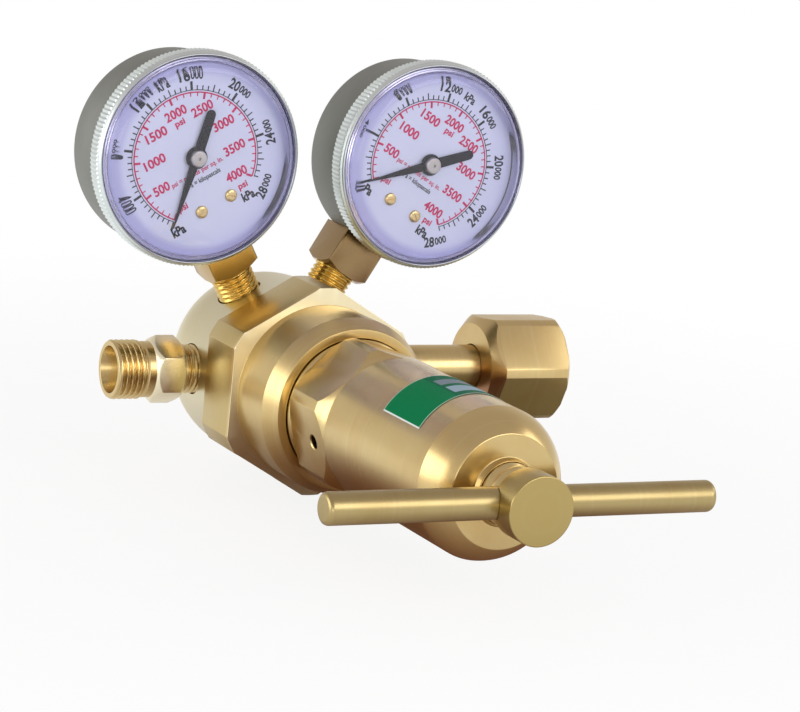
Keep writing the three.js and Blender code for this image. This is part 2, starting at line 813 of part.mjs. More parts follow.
function makeSocket() {
  const top = -caseRadius - seatGap;
  const bottom = blockFrom - gaugeReach;
  const stemEnd = stemSeat - gaugeReach;
  const threadFrom = bottom - stemThreadShown;
  const threads = Math.round(stemThreadShown / stemThreadPitch);
  const stem = turned('z', [
    [0, stemEnd],
    [stemThreadRadius, stemEnd],
    ...ridges(threadFrom, bottom, threads, stemThreadRadius, stemThreadRoot),
    [socketNeckRadius, bottom],
    [socketNeckRadius, -socketNeckTop],
    [0, -socketNeckTop],
  ], medium);
  const height = top + 3 - bottom;
  const blockEnds = turned('z', [
    [0, bottom],
    [blockWidth / 2 + 0.3, bottom],
    [blockWidth / 2 + 0.3 + blockChamfer * 1.7, bottom + blockChamfer],
    [blockWidth, bottom + blockChamfer],
    [blockWidth, bottom + height],
    [0, bottom + height],
  ], medium);
  const bar = block(blockWidth, blockWidth, height, 0, 0, bottom + height / 2)
    .intersect(blockEnds)
    .subtract(rod('y', caseRadius + seatGap, -blockWidth, blockWidth, fine * 2));
  const bore = drilled(socketBoreRadius, [0, 0, stemEnd - 1], [0, 0, -socketNeckTop + 1]);
  return stem.add(bar).subtract(bore);
}

function makeCase() {
  const inner = caseRadius - caseWall;
  const floor = caseBack - caseWall;
  const cup = turned('y', [
    [0, caseBack],
    ...arc([caseRadius - caseRound, caseBack - caseRound], caseRound, 90, 0, 3),
    [caseRadius, -caseFront],
    [inner, -caseFront],
    [inner, floor - caseRound + caseWall],
    [inner - caseRound + caseWall, floor],
    [0, floor],
  ], fine);
  const hole = drilled(socketNeckRadius + seatGap, [0, 0, -caseRadius - 2],
    [0, 0, -caseRadius + 4], coarse);
  return cup.subtract(hole);
}

const lensFront = bezelFront - bezelLip - seatGap;
const lensBack = lensFront - lensThickness;
const gasketBack = caseFront + seatGap;

function makeLens() {
  const wall = bezelOpening - seatGap;
  const face = bezelFront + lensRise;
  const centre = [wall - lensRound, -face + lensRound];
  return turned('y', [
    [0, -face],
    ...arc(centre, lensRound, -90, 0, 2),
    [wall, -lensFront],
    [lensRadius, -lensFront],
    [lensRadius, -lensBack],
    [wall - lensThickness, -lensBack],
    ...arc(centre, lensRound - lensThickness, 0, -90, 1),
    [0, -face + lensThickness],
  ], medium);
}

function makeBezel() {
  const back = bezelFront - bezelLength;
  const skirt = lensRadius + seatGap;
  const blank = turned('y', [
    [0, -back],
    [bezelRadius, -back],
    [bezelRadius, -bezelFront + bezelChamfer],
    [bezelRadius - bezelChamfer, -bezelFront],
    [0, -bezelFront],
  ], bezelKnurls * 2);
  const bore = turned('y', [
    [0, -bezelFront - 1],
    [bezelOpening, -bezelFront - 1],
    [bezelOpening, -bezelFront + bezelLip],
    [skirt, -bezelFront + bezelLip],
    [skirt, -back + 1],
    [0, -back + 1],
  ], fine);
  const edge = new THREE.Shape();
  for (let i = 0; i < bezelKnurls * 2; i += 1) {
    const angle = (Math.PI * i) / bezelKnurls;
    const reach = bezelRadius + (i % 2 ? 0.1 : -bezelKnurlDepth);
    edge[i ? 'lineTo' : 'moveTo'](reach * Math.cos(angle), reach * Math.sin(angle));
  }
  return blank.intersect(plate(edge, bezelFront, bezelLength)).subtract(bore);
}

function makePointer() {
  const shape = new THREE.Shape();
  const tail = pointerTailRadius;
  shape.moveTo(-0.15, pointerLength);
  shape.lineTo(-pointerHubRadius * 0.45, pointerHubRadius * 0.9);
  shape.absarc(0, 0, pointerHubRadius, degrees(120), degrees(242), false);
  shape.lineTo(-tail, -pointerTail);
  shape.absarc(0, -pointerTail, tail, degrees(180), degrees(360), false);
  shape.absarc(0, 0, pointerHubRadius, degrees(298), degrees(420), false);
  shape.lineTo(0.15, pointerLength);
  const hand = plate(shape, pointerFace, pointerThickness, 6);
  const collar = rod('y', pointerHubRadius, -pointerFace - 0.2, -pointerBack);
  const bore = rod('y', arborRadius + seatGap, -pointerFace - 1, -pointerBack + 1, 12);
  return hand.add(collar).subtract(bore).rotate([0, -pointerZero, 0]);
}

function makeCap() {
  const back = pointerFace + 0.2 + seatGap;
  return turned('y', [
    [0, -back],
    [capRadius, -back],
    [capRadius, -back - capHeight * 0.5],
    [capRadius * 0.75, -back - capHeight * 0.85],
    [0, -back - capHeight],
  ], coarse);
}

function makeDial() {
  let dial = ring('y', arborRadius + 2 * seatGap, dialRadius, -dialFace,
    -dialFace + dialThickness, fine);
  for (const side of [-1, 1]) {
    const x = side * dialScrewOffset;
    const front = [x, -dialFace - 1, -dialScrewDrop];
    const back = [x, -dialFace + dialThickness + 1, -dialScrewDrop];
    dial = dial.subtract(drilled(dialScrewShank + seatGap, front, back));
  }
  return dial;
}

function makeDialScrew(side) {
  const head = dialFace + seatGap;
  return turned('y', [
    [0, -head - dialScrewHeight],
    [dialScrewRadius * 0.7, -head - dialScrewHeight],
    [dialScrewRadius, -head - dialScrewHeight * 0.4],
    [dialScrewRadius, -head],
    [dialScrewShank, -head],
    [dialScrewShank, -frontPlateAt - plateThickness - seatGap],
    [0, -frontPlateAt - plateThickness - seatGap],
  ], 16).translate([side * dialScrewOffset, 0, -dialScrewDrop]);
}

// The angle in the dial's plane from the sector's pivot to the pinion.
const gearFacing = Math.atan2(-sectorPivotZ, -sectorPivotX);

// Points of teeth on a pitch circle, from one angle on. Each tooth stands between two gaps.
function teethPoints(pitchRadius, from, step, count) {
  const foot = pitchRadius - toothFoot;
  const top = pitchRadius + toothTop;
  const profile = [[0.22, foot], [0.39, top], [0.61, top], [0.78, foot]];
  const points = [];
  for (let i = 0; i < count; i += 1) {
    for (const [share, reach] of profile) {
      const angle = from + (i + share) * step;
      points.push(new THREE.Vector2(reach * Math.cos(angle), reach * Math.sin(angle)));
    }
  }
  return points;
}

function makePinion() {
  const step = (2 * Math.PI) / pinionTeeth;
  const gear = new THREE.Shape(
    teethPoints(pinionPitch, gearFacing + Math.PI, step, pinionTeeth),
  );
  const teeth = plate(gear, pinionAt + sectorThickness, sectorThickness * 2);
  const arbor = rod('y', arborRadius, -pointerFace - 0.2, -backPlateAt + 0.8, 12);
  return teeth.add(arbor);
}

// Where the link is pinned to the sector's tail at rest, as [x, z].
const tailEnd = [
  sectorPivotX + sectorTail * Math.cos(degrees(sectorTailAngle)),
  sectorPivotZ + sectorTail * Math.sin(degrees(sectorTailAngle)),
];

function makeSector() {
  const step = (2 * Math.PI) / sectorTeeth;
  const from = gearFacing - (sectorTeethBefore + 0.5) * step;
  const count = sectorTeethBefore + 1 + sectorTeethAfter;
  const front = pinionAt + sectorThickness / 2;
  const fan = plate(
    new THREE.Shape([new THREE.Vector2(0, 0), ...teethPoints(sectorPitch, from, step, count)]),
    front, sectorThickness,
  ).translate([sectorPivotX, 0, sectorPivotZ]);
  const pivot = [sectorPivotX, sectorPivotZ];
  const tail = barBetween(pivot, tailEnd, sectorTailWidth, front, sectorThickness);
  const boss = rod('y', sectorBossRadius, -front, -front + sectorThickness)
    .translate([sectorPivotX, 0, sectorPivotZ]);
  const pin = rod('y', arborRadius, -frontPlateAt - 0.8, -backPlateAt + 0.8, 12)
    .translate([sectorPivotX, 0, sectorPivotZ]);
  const hole = rod('y', arborRadius + seatGap, -front - 1, -front + 3, 12)
    .translate([tailEnd[0], 0, tailEnd[1]]);
  return fan.add(tail).add(boss).add(pin).subtract(hole);
}

// A flat bar between two points given as [x, z].
function barBetween([ax, az], [bx, bz], width, front, thickness) {
  const length = Math.hypot(bx - ax, bz - az);
  const angle = Math.atan2(bz - az, bx - ax);
  const shape = new THREE.Shape();
  shape.absarc(0, 0, width / 2, degrees(90), degrees(270), false);
  shape.absarc(length, 0, width / 2, degrees(-90), degrees(90), false);
  const bar = plate(shape, front, thickness, 4);
  return bar.rotate([0, (-angle * 180) / Math.PI, 0]).translate([ax, 0, az]);
}

function tubePoint(angle, at = 0) {
  const turn = degrees(angle);
  return new THREE.Vector3(tubeCoilRadius * Math.sin(turn), at, -tubeCoilRadius * Math.cos(turn));
}

function makeLink() {
  const tip = tubePoint(tubeTo + 4);
  const front = pinionAt - sectorThickness / 2 - seatGap;
  const bar = barBetween(tailEnd, [tip.x, tip.z], linkWidth, front, linkThickness);
  const tipPin = rod('y', arborRadius, -front + 0.2, tubeAt - tubeWidth / 2 - seatGap, 12)
    .translate([tip.x, 0, tip.z]);
  const tailPin = rod('y', arborRadius, -front - sectorThickness - seatGap - 0.4, -front + 0.2, 12)
    .translate([tailEnd[0], 0, tailEnd[1]]);
  return bar.add(tipPin).add(tailPin);
}

function makeFrame() {
  const height = plateTop + plateBottom;
  const middle = (plateTop - plateBottom) / 2;
  const front = block(plateWidth, plateThickness, height, 0,
    -frontPlateAt - plateThickness / 2, middle);
  const back = block(plateWidth, plateThickness, height, 0,
    -backPlateAt + plateThickness / 2, middle);
  const footBottom = -socketNeckTop + seatGap;
  const footHeight = -plateBottom + 1 - footBottom;
  const foot = block(footWidth, backPlateAt + footBack, footHeight, 0,
    (footBack - backPlateAt) / 2, footBottom + footHeight / 2);
  const earsHeight = dialScrewDrop - plateBottom + 4;
  const ears = block(2 * dialScrewOffset + 5, plateThickness, earsHeight, 0,
    -frontPlateAt - plateThickness / 2, 1 - plateBottom - earsHeight / 2);
  let frame = front.add(back).add(foot).add(ears);
  const [outer, inner] = [plateWidth / 2 - 1.5, plateWidth / 2 - 2.5];
  const posts = [
    [-outer, 1.5 - plateBottom], [outer, 1.5 - plateBottom],
    [-inner, plateTop - 1.5], [inner, plateTop - 1.5],
  ];
  for (const [x, z] of posts) {
    frame = frame.add(rod('y', postRadius, -frontPlateAt - 0.5, -backPlateAt + 0.5, 12)
      .translate([x, 0, z]));
  }
  for (const [x, z] of [[0, 0], [sectorPivotX, sectorPivotZ]]) {
    frame = frame.subtract(rod('y', arborRadius + seatGap, -frontPlateAt - 4, 4, 12)
      .translate([x, 0, z]));
  }
  return frame;
}

function makeBourdonTube() {
  const steps = 24;
  const path = new THREE.CatmullRomCurve3(Array.from({ length: steps + 1 }, (_, i) =>
    tubePoint(tubeFrom + ((tubeTo - tubeFrom) * i) / steps, tubeAt)));
  const section = new THREE.Shape();
  for (let i = 0; i < 6; i += 1) {
    const angle = (Math.PI * i) / 3;
    const point = [(tubeWidth / 2) * Math.cos(angle), (tubeDepth / 2) * Math.sin(angle)];
    section[i ? 'lineTo' : 'moveTo'](...point);
  }
  const options = { extrudePath: path, steps, bevelEnabled: false };
  return solid(new THREE.ExtrudeGeometry(section, options));
}

function addGauge(side, suffix) {
  const gauge = new THREE.Group();
  gauge.position.set(...along3(gaugeDirection(side), gaugeReach));
  gauge.rotation.y = side * degrees(gaugeTilt);
  ports.add(gauge);
  const named = (piece) => `${piece}_${suffix}`;
  add(gauge, named('gauge_socket'), makeSocket(), threadBrass);
  add(gauge, named('gauge_case'), makeCase(), caseMetal);
  add(gauge, named('bezel'), makeBezel(), bezelMetal);
  add(gauge, named('lens'), makeLens(), clearLens);
  add(gauge, named('lens_gasket'), ring('y', lensRadius - gasketWidth, lensRadius,
    -lensBack + seatGap, -gasketBack, fine), sealRubber);
  add(gauge, named('dial'), makeDial(), dialWhite);
  add(gauge, named('dial_screw_1'), makeDialScrew(-1), brass);
  add(gauge, named('dial_screw_2'), makeDialScrew(1), brass);
  add(gauge, named('pointer'), makePointer(), pointerBlack);
  add(gauge, named('pointer_cap'), makeCap(), steel);
  add(gauge, named('pinion'), makePinion(), brass);
  add(gauge, named('sector_gear'), makeSector(), brass);
  add(gauge, named('movement_frame'), makeFrame(), brass);
  add(gauge, named('bourdon_tube'), makeBourdonTube(), brass);
  add(gauge, named('link'), makeLink(), steel);
}

addGauge(-1, 'left');
addGauge(1, 'right');

export default ports;
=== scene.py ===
# %% [markdown]
# # A high-pressure gas regulator
#
# The object is a brass regulator for a gas cylinder: a domed body, a long spring housing with
# a T-handle, two dial gauges, a threaded outlet and a big inlet nut. The moving frame of it is
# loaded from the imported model, and every visible piece is then made again with finer shapes
# and real finishes. Each new piece stands exactly where its plain twin stands.

# %% Load the frame
import math

import bpy
from mathutils import Matrix, Vector


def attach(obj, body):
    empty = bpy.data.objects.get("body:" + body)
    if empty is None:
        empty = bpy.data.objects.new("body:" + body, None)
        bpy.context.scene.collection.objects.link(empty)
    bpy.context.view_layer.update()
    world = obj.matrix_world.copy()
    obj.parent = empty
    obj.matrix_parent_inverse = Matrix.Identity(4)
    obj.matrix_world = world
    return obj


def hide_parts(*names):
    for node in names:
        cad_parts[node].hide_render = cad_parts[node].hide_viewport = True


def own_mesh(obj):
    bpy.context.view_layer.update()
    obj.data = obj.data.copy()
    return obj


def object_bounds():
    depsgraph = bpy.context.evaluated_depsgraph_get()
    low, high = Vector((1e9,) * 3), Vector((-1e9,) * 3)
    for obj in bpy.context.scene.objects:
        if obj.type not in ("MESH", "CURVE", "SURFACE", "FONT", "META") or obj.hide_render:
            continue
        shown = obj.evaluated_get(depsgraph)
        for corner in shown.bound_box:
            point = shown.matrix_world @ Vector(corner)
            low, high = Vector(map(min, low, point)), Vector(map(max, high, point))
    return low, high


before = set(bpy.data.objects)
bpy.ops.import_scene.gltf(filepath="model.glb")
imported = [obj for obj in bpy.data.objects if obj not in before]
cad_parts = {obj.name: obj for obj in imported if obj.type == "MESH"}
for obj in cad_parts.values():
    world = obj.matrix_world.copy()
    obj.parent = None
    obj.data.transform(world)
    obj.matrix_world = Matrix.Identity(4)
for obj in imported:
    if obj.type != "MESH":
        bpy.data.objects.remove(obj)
plain_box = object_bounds()
MM = 0.001
PORTS = -101.0  # x of the ports' centre and of the spring housing's axis, in mm
AXIS = (PORTS, 0, 0)
print("frame loaded:", len(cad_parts), "nodes")

# %% [markdown]
# ## Camera
#
# The camera stands to the left of the spring housing, a little above it, 90 cm from the ports.
# It looks 28 degrees to the right and 11 degrees down, and is rolled by 5.5 degrees. Building
# its turn from three directions is easier to check than a set of Euler angles.

# %% Camera
yaw = math.radians(-27.91)
pitch = math.radians(-11.22)
roll = math.radians(5.54)
forward = Vector(
    (-math.sin(yaw) * math.cos(pitch), math.cos(yaw) * math.cos(pitch), math.sin(pitch))
)
level = Vector((math.cos(yaw), math.sin(yaw), 0))
upright = level.cross(forward)
right = level * math.cos(roll) + upright * math.sin(roll)
up = upright * math.cos(roll) - level * math.sin(roll)

tripod = Matrix.Translation((-0.4766, -0.7951, 0.1822))
bpy.ops.object.select_all(action="DESELECT")
bpy.ops.object.camera_add()
camera = bpy.context.object
camera.data.lens = 124.99
camera.data.sensor_width = 36
camera.matrix_world = tripod @ Matrix((right, up, -forward)).transposed().to_4x4()
bpy.context.scene.camera = camera
print("camera looks along", [round(value, 3) for value in forward])

# %% [markdown]
# ## Turning
#
# Nearly every piece was made on a lathe, so one helper does most of the modelling. A single
# vertex is extruded along a profile of radius and distance, and the profile is spun round its
# axis. Sharp corners of the profile are first rounded a little, because no real edge is
# perfectly sharp and a rounded edge catches the light.

# %% Helpers for turned pieces
DIRECTIONS = {
    "X": (Vector((1, 0, 0)), Vector((0, 0, 1))),
    "Y": (Vector((0, 1, 0)), Vector((1, 0, 0))),
    "Z": (Vector((0, 0, 1)), Vector((1, 0, 0))),
}
BLUNT = math.radians(18)  # a corner that turns less than this is left alone
WELD = 2e-6  # metres between vertices that become one


def deselect():
    if bpy.context.mode != "OBJECT":
        bpy.ops.object.mode_set(mode="OBJECT")
    bpy.ops.object.select_all(action="DESELECT")


def select(piece):
    """Make a piece the only one that an operator acts on."""
    deselect()
    piece.select_set(True)
    bpy.context.view_layer.objects.active = piece


def apply_place(piece):
    """Move a piece's place and turn into its mesh."""
    select(piece)
    bpy.ops.object.transform_apply(location=True, rotation=True, scale=True)


def edit(piece):
    select(piece)
    bpy.ops.object.mode_set(mode="EDIT")
    bpy.ops.mesh.select_all(action="SELECT")


def face_outwards():
    """Turn the faces of the mesh that is being edited outwards."""
    bpy.ops.mesh.select_all(action="SELECT")
    bpy.ops.mesh.normals_make_consistent(inside=False)


def rounded(profile, size, steps=5):
    """Replace each corner of a profile that turns sharply by a small arc."""
    points = [Vector(point) for point in profile]
    result = [points[0]]
    for before, corner, after in zip(points, points[1:], points[2:]):
        first, second = before - corner, after - corner
        turn = math.pi - first.angle(second, math.pi)
        if turn < BLUNT or size == 0:
            result.append(corner)
            continue
        reach = min(size, first.length * 0.45, second.length * 0.45)
        start = corner + first.normalized() * reach
        end = corner + second.normalized() * reach
        for step in range(steps + 1):
            share = step / steps
            ahead = start.lerp(corner, share)
            result.append(ahead.lerp(corner.lerp(end, share), share))
    result.append(points[-1])
    return result


def turned(name, profile, axis="Y", centre=(0, 0, 0), steps=96, soften=0.25):
    """Spin a profile of (radius, distance) in mm round an axis through a point."""
    along, outward = DIRECTIONS[axis]
    base = Vector(centre)
    points = [
        (base + outward * radius + along * distance) * MM
        for radius, distance in rounded(profile, soften)
    ]
    deselect()
    bpy.ops.mesh.primitive_plane_add(size=MM)
    piece = bpy.context.object
    piece.name = name
    bpy.ops.object.mode_set(mode="EDIT")
    bpy.ops.mesh.select_all(action="SELECT")
    bpy.ops.mesh.merge(type="CENTER")
    bpy.ops.transform.translate(value=points[0])
    for here, there in zip(points, points[1:]):
        bpy.ops.mesh.extrude_region_move(TRANSFORM_OT_translate={"value": there - here})
    bpy.ops.mesh.select_all(action="SELECT")
    bpy.ops.mesh.spin(steps=steps, angle=math.tau, center=base * MM, axis=along)
    bpy.ops.mesh.select_all(action="SELECT")
    bpy.ops.mesh.remove_doubles(threshold=WELD)
    face_outwards()
    bpy.ops.object.mode_set(mode="OBJECT")
    return piece


def arc(centre, size, start, end, steps):
    """Profile points on an arc, with angles in degrees from the outward direction."""
    turns = [math.radians(start + (end - start) * step / steps) for step in range(steps + 1)]
    return [(centre[0] + size * math.cos(t), centre[1] + size * math.sin(t)) for t in turns]


# %% [markdown]
# ## Flats, holes and soft edges
#
# A hexagon is cut from a turned blank, as in the workshop: six planes slice off the rounds, and
# what remains has the curved chamfer lines of a real nut. Holes are Boolean cuts. The last
# step of a piece is a narrow bevel on every edge that is still sharp.

# %% Helpers for milled pieces
SHARP = 19  # degrees between two faces from which their edge counts as sharp


def cut_flats(piece, across, axis, centre=(0, 0, 0), turn=0.0, count=6):
    """Slice flats at equal angles. The first lies at the angle turn from the outward side."""
    along, outward = DIRECTIONS[axis]
    edit(piece)
    for i in range(count):
        angle = math.radians(turn) + math.tau * i / count
        normal = Matrix.Rotation(angle, 3, along) @ outward
        bpy.ops.mesh.select_all(action="SELECT")
        bpy.ops.mesh.bisect(
            plane_co=(Vector(centre) + normal * across / 2) * MM,
            plane_no=normal,
            use_fill=True,
            clear_outer=True,
        )
    deselect()


def soften_edges(piece, width=0.2, sharpness=SHARP, segments=3):
    """Bevel what is still sharp."""
    edit(piece)
    bpy.ops.mesh.select_mode(type="EDGE")
    bpy.ops.mesh.select_all(action="DESELECT")
    bpy.ops.mesh.edges_select_sharp(sharpness=math.radians(sharpness))
    bpy.ops.mesh.bevel(offset=width * MM, segments=segments, clamp_overlap=True)
    bpy.ops.mesh.select_mode(type="VERT")
    deselect()


def drill(piece, *tools):
    """Cut each tool out of a piece with a Boolean, and throw the tool away."""
    for tool in tools:
        modifier = piece.modifiers.new("cut", "BOOLEAN")
        modifier.operation = "DIFFERENCE"
        modifier.solver = "EXACT"
        modifier.object = tool
        select(piece)
        bpy.ops.object.modifier_apply(modifier=modifier.name)
        bpy.data.objects.remove(tool)


def join(name, pieces):
    deselect()
    for piece in pieces:
        piece.select_set(True)
    bpy.context.view_layer.objects.active = pieces[0]
    bpy.ops.object.join()
    pieces[0].name = name
    return pieces[0]


# %% [markdown]
# ## Threads
#
# A thread is a helical groove. The turned blank has many rings where the thread goes, and each
# of their vertices sinks by an amount that depends on its angle and its distance, which is
# just what a thread-cutting tool does. The groove fades out at both ends.

# %% Helpers for threads
GROOVE_FLOOR, GROOVE_SLOPE = 1.15, 1.45  # how flat a groove's floor is, and how steep its sides


def cut_thread(piece, axis, centre, start, end, pitch, depth, crest, fade=0.5):
    """Sink a right-hand thread into the vertices of a blank that lie on its crest radius."""
    along, outward = DIRECTIONS[axis]
    sideways = along.cross(outward)
    deepest = 0.0
    for vertex in piece.data.vertices:
        offset = vertex.co / MM - Vector(centre)
        distance = offset.dot(along)
        radial = offset - along * distance
        if not start <= distance <= end or radial.length < crest - 0.05:
            continue
        angle = math.atan2(offset.dot(sideways), offset.dot(outward))
        phase = (distance / pitch - angle / math.tau) % 1
        groove = min(1, max(0, GROOVE_FLOOR - GROOVE_SLOPE * abs(2 * phase - 1)))
        edge = min(distance - start, end - distance) / (pitch * fade)
        sink = depth * groove * min(1, max(0, edge))
        deepest = max(deepest, sink)
        vertex.co -= radial.normalized() * sink * MM
    piece.data.update()
    print(piece.name, "thread", round(deepest, 2), "mm deep, pitch", pitch, "mm")


def rings(radius, start, end, pitch, per_turn=8):
    """Profile points close enough for a thread."""
    count = max(1, round(abs(end - start) / pitch * per_turn))
    return [(radius, start + (end - start) * i / count) for i in range(count + 1)]


# %% [markdown]
# ## Shader maths
#
# A small class lets a material's sum be written as a plain expression. Each operation adds
# its Math node, and any other node comes from one method.

# %% Helpers for materials
class Wire:
    """A number that flows through a material's nodes."""

    def __init__(self, finish, socket):
        self.finish, self.socket = finish, socket

    def __add__(self, other):
        return self.finish.maths("ADD", self, other)

    __radd__ = __add__

    def __sub__(self, other):
        return self.finish.maths("SUBTRACT", self, other)

    def __rsub__(self, other):
        return self.finish.maths("SUBTRACT", other, self)

    def __mul__(self, other):
        return self.finish.maths("MULTIPLY", self, other)

    __rmul__ = __mul__

    def __truediv__(self, other):
        return self.finish.maths("DIVIDE", self, other)

    def __gt__(self, other):
        return self.finish.maths("GREATER_THAN", self, other)

    def __lt__(self, other):
        return self.finish.maths("LESS_THAN", self, other)


class Finish:
    """The nodes of one material."""

    def __init__(self, name, color, roughness, metallic=0.0, **sockets):
        self.material = bpy.data.materials.new(name)
        self.material.use_nodes = True
        self.tree = self.material.node_tree
        self.surface = self.tree.nodes["Principled BSDF"]
        self.material.diffuse_color = (*color, 1)
        self.set("Base Color", (*color, 1))
        self.set("Roughness", roughness)
        self.set("Metallic", metallic)
        for key, value in sockets.items():
            self.set(key.replace("_", " "), value)

    def set(self, socket, value, node=None):
        target = (node or self.surface).inputs[socket]
        if isinstance(value, Wire):
            self.tree.links.new(value.socket, target)
        else:
            target.default_value = value

    def add(self, kind, settings, inputs, output=0):
        """One node: its settings first, then its sockets, and the chosen output."""
        node = self.tree.nodes.new(kind)
        for key, value in settings.items():
            setattr(node, key, value)
        for key, value in inputs.items():
            self.set(key, value, node)
        return Wire(self, node.outputs[output])

    def maths(self, operation, *values):
        return self.add("ShaderNodeMath", {"operation": operation}, dict(enumerate(values)))

    def place(self, location=(0, 0, 0), turn=(0, 0, 0), scale=(1, 1, 1)):
        """Object coordinates, moved and turned so that a pattern centres on a piece."""
        where = self.add("ShaderNodeTexCoord", {}, {}, "Object")
        return self.add(
            "ShaderNodeMapping",
            {"vector_type": "TEXTURE"},
            {"Vector": where, "Location": location, "Rotation": turn, "Scale": scale},
        )

    def axis(self, location, turn):
        """A pattern about its own Y axis: the point, its y and z, and its radius."""
        where = self.place([value * MM for value in location], turn)
        x, y, z = self.split(where)
        return where, y, z, self.maths("SQRT", x * x + z * z)

    def split(self, vector):
        node = self.tree.nodes.new("ShaderNodeSeparateXYZ")
        self.set("Vector", vector, node)
        return [Wire(self, output) for output in node.outputs]

    def noise(self, vector, scale, detail, roughness=0.5):
        return self.add(
            "ShaderNodeTexNoise",
            {},
            {"Vector": vector, "Scale": scale, "Detail": detail, "Roughness": roughness},
        )

    def cloud(self, scale, detail):
        """Noise in the piece's own coordinates."""
        return self.noise(self.place(), scale, detail)

    def vector(self, x, y, z=0.0):
        return self.add("ShaderNodeCombineXYZ", {}, {"X": x, "Y": y, "Z": z})

    def smooth(self, value, low, high, start=0.0, end=1.0):
        """Go from start to end without a corner while the value goes from low to high."""
        return self.add(
            "ShaderNodeMapRange",
            {"interpolation_type": "SMOOTHSTEP"},
            {"Value": value, "From Min": low, "From Max": high, "To Min": start, "To Max": end},
        )

    def blend(self, factor, first, second):
        """Mix two colours."""
        return self.add(
            "ShaderNodeMix",
            {"data_type": "RGBA"},
            {"Factor": factor, "A": self.color(first), "B": self.color(second)},
            "Result",
        )

    def color(self, value):
        return value if isinstance(value, Wire) else (*value, 1)

    def bump(self, height, distance, strength):
        normal = self.add(
            "ShaderNodeBump",
            {},
            {"Height": height, "Distance": distance, "Strength": strength},
        )
        self.set("Normal", normal)

    def overlay(self, factor, shader):
        """Show another shader in place of the surface where the factor is 1."""
        plain = Wire(self, self.surface.outputs[0])
        mixed = self.add("ShaderNodeMixShader", {}, {0: factor, 1: plain, 2: shader})
        self.set("Surface", mixed, self.tree.nodes["Material Output"])


def finish_piece(piece, finish, nodes=(), angle=SHARP, body="regulator"):
    """Say where a piece belongs, and give it its material."""
    piece.data.materials.clear()
    piece.data.materials.append(finish.material)
    select(piece)
    bpy.ops.object.shade_smooth_by_angle(angle=math.radians(angle))
    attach(piece, body)
    if nodes:
        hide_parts(*nodes)
    deselect()
    print(piece.name, "has", len(piece.data.polygons), "faces")


# %% [markdown]
# ## Brass
#
# Turned brass shows three things. The lathe leaves fine rings round the axis, which stretch
# the highlights. The colour wanders a little, warmer where the metal has started to tarnish.
# The roughness wanders with it. The rings come from noise that is read at each point's radius
# and distance, so they follow the piece's own axis.

# %% Brass finishes
BRASS = (0.66, 0.50, 0.23)
BRASS_WARM = (0.60, 0.41, 0.165)
BRASS_PALE = (0.74, 0.62, 0.37)
RING_SCALE, PATCH_SCALE, GRAIN_SCALE = 9000, 38, 1900  # of the noise, per metre


def brass(name, location=AXIS, turn=(0, 0, 0), shine=0.3, rings_depth=0.18, tint=None, zones=()):
    """Brass turned about the local Y axis of a placed pattern.

    A zone is (start, end, radius, colour, amount). It tints the metal between two distances and
    outside a radius, where the piece was made from another bar or was finished apart, and some
    zones are a painted highlight and some painted shade. A pair of amounts fades the tint out from
    the lower side to the upper one, which paints shade darker towards the bottom.
    """
    base = tint or (BRASS_WARM, BRASS, BRASS_PALE)
    finish = Finish(name, base[1], shine, 1.0)
    where, y, z, radius = finish.axis(location, turn)
    fine = finish.noise(finish.vector(radius * RING_SCALE, y * RING_SCALE), 1.0, 2.0)
    bands = finish.noise(finish.vector(radius * 250, y * 900), 1.0, 2.0)
    patches = finish.noise(where, PATCH_SCALE, 4.0, 0.6)
    grain = finish.noise(where, GRAIN_SCALE, 2.0)
    warm = finish.smooth(patches, 0.42, 0.68)
    pale = finish.smooth(bands, 0.5, 0.75)
    color = finish.blend(warm * 0.55, base[1], base[0])
    color = finish.blend(pale * 0.25, color, base[2])
    for start, end, size, other, amount in zones:
        inside = (y > start * MM) * (y < end * MM) * (radius > size * MM)
        if isinstance(amount, tuple):
            amount = finish.smooth(z, -2 * MM, 8 * MM, *amount)
        color = finish.blend(inside * amount, color, other)
    finish.set("Base Color", color)
    finish.set("Roughness", shine + 0.06 * (fine - 0.5) + 0.12 * (patches - 0.5))
    finish.bump(fine * rings_depth + grain * 0.3, 0.00002, 0.5)
    return finish


ALONG_X = (0, 0, math.radians(90))  # the pattern's Y axis then points along -X
BAR_CENTRE = (PORTS, -165.3, 0)
housing_brass = brass("satin_turned_brass", shine=0.25)
body_brass = brass(
    "bar_stock_brass_painted_highlight",
    zones=[
        (-33.2, -14.5, 29.95, (0.54, 0.42, 0.18), 0.75),
        # The thin pale band on the hexagon's front face is a painted highlight.
        (-35.0, -34.45, 27.9, (0.88, 0.80, 0.56), 0.8),
        (-14.4, 50, 0, (0.70, 0.655, 0.46), 0.75),
    ],
)
screw_brass = brass("screw_brass", zones=[(-176, -165.9, 0, (0.42, 0.32, 0.12), 0.8)])
OLIVE = ((0.37, 0.26, 0.10), (0.45, 0.35, 0.16), (0.53, 0.44, 0.25))
handle_brass = brass("handle_brass", BAR_CENTRE, ALONG_X, 0.34, tint=OLIVE)
nipple_brass = brass("nipple_brass", AXIS, ALONG_X)
nut_brass_painted_shade = brass(
    # The zone on the nut's back cone is painted shade, dark red-brown, strongest at the bottom and
    # fading out upwards.
    "nut_brass_painted_shade", AXIS, ALONG_X, zones=[(-76.3, -72, 0, (0.30, 0.13, 0.07), (0.85, 0.1))]
)
outlet_brass = brass(
    "bright_cut_brass_painted_highlight", AXIS, ALONG_X, 0.26, 0.1,
    # The zone on the hexagon is a painted highlight, pale cream.
    zones=[(33.9, 44.1, 8.95, (0.97, 0.90, 0.66), 0.9)],
)
dial_screw_brass = brass("dial_screw_brass", shine=0.26)
GOLD = ((0.57, 0.35, 0.09), (0.74, 0.51, 0.14), (0.88, 0.70, 0.28))
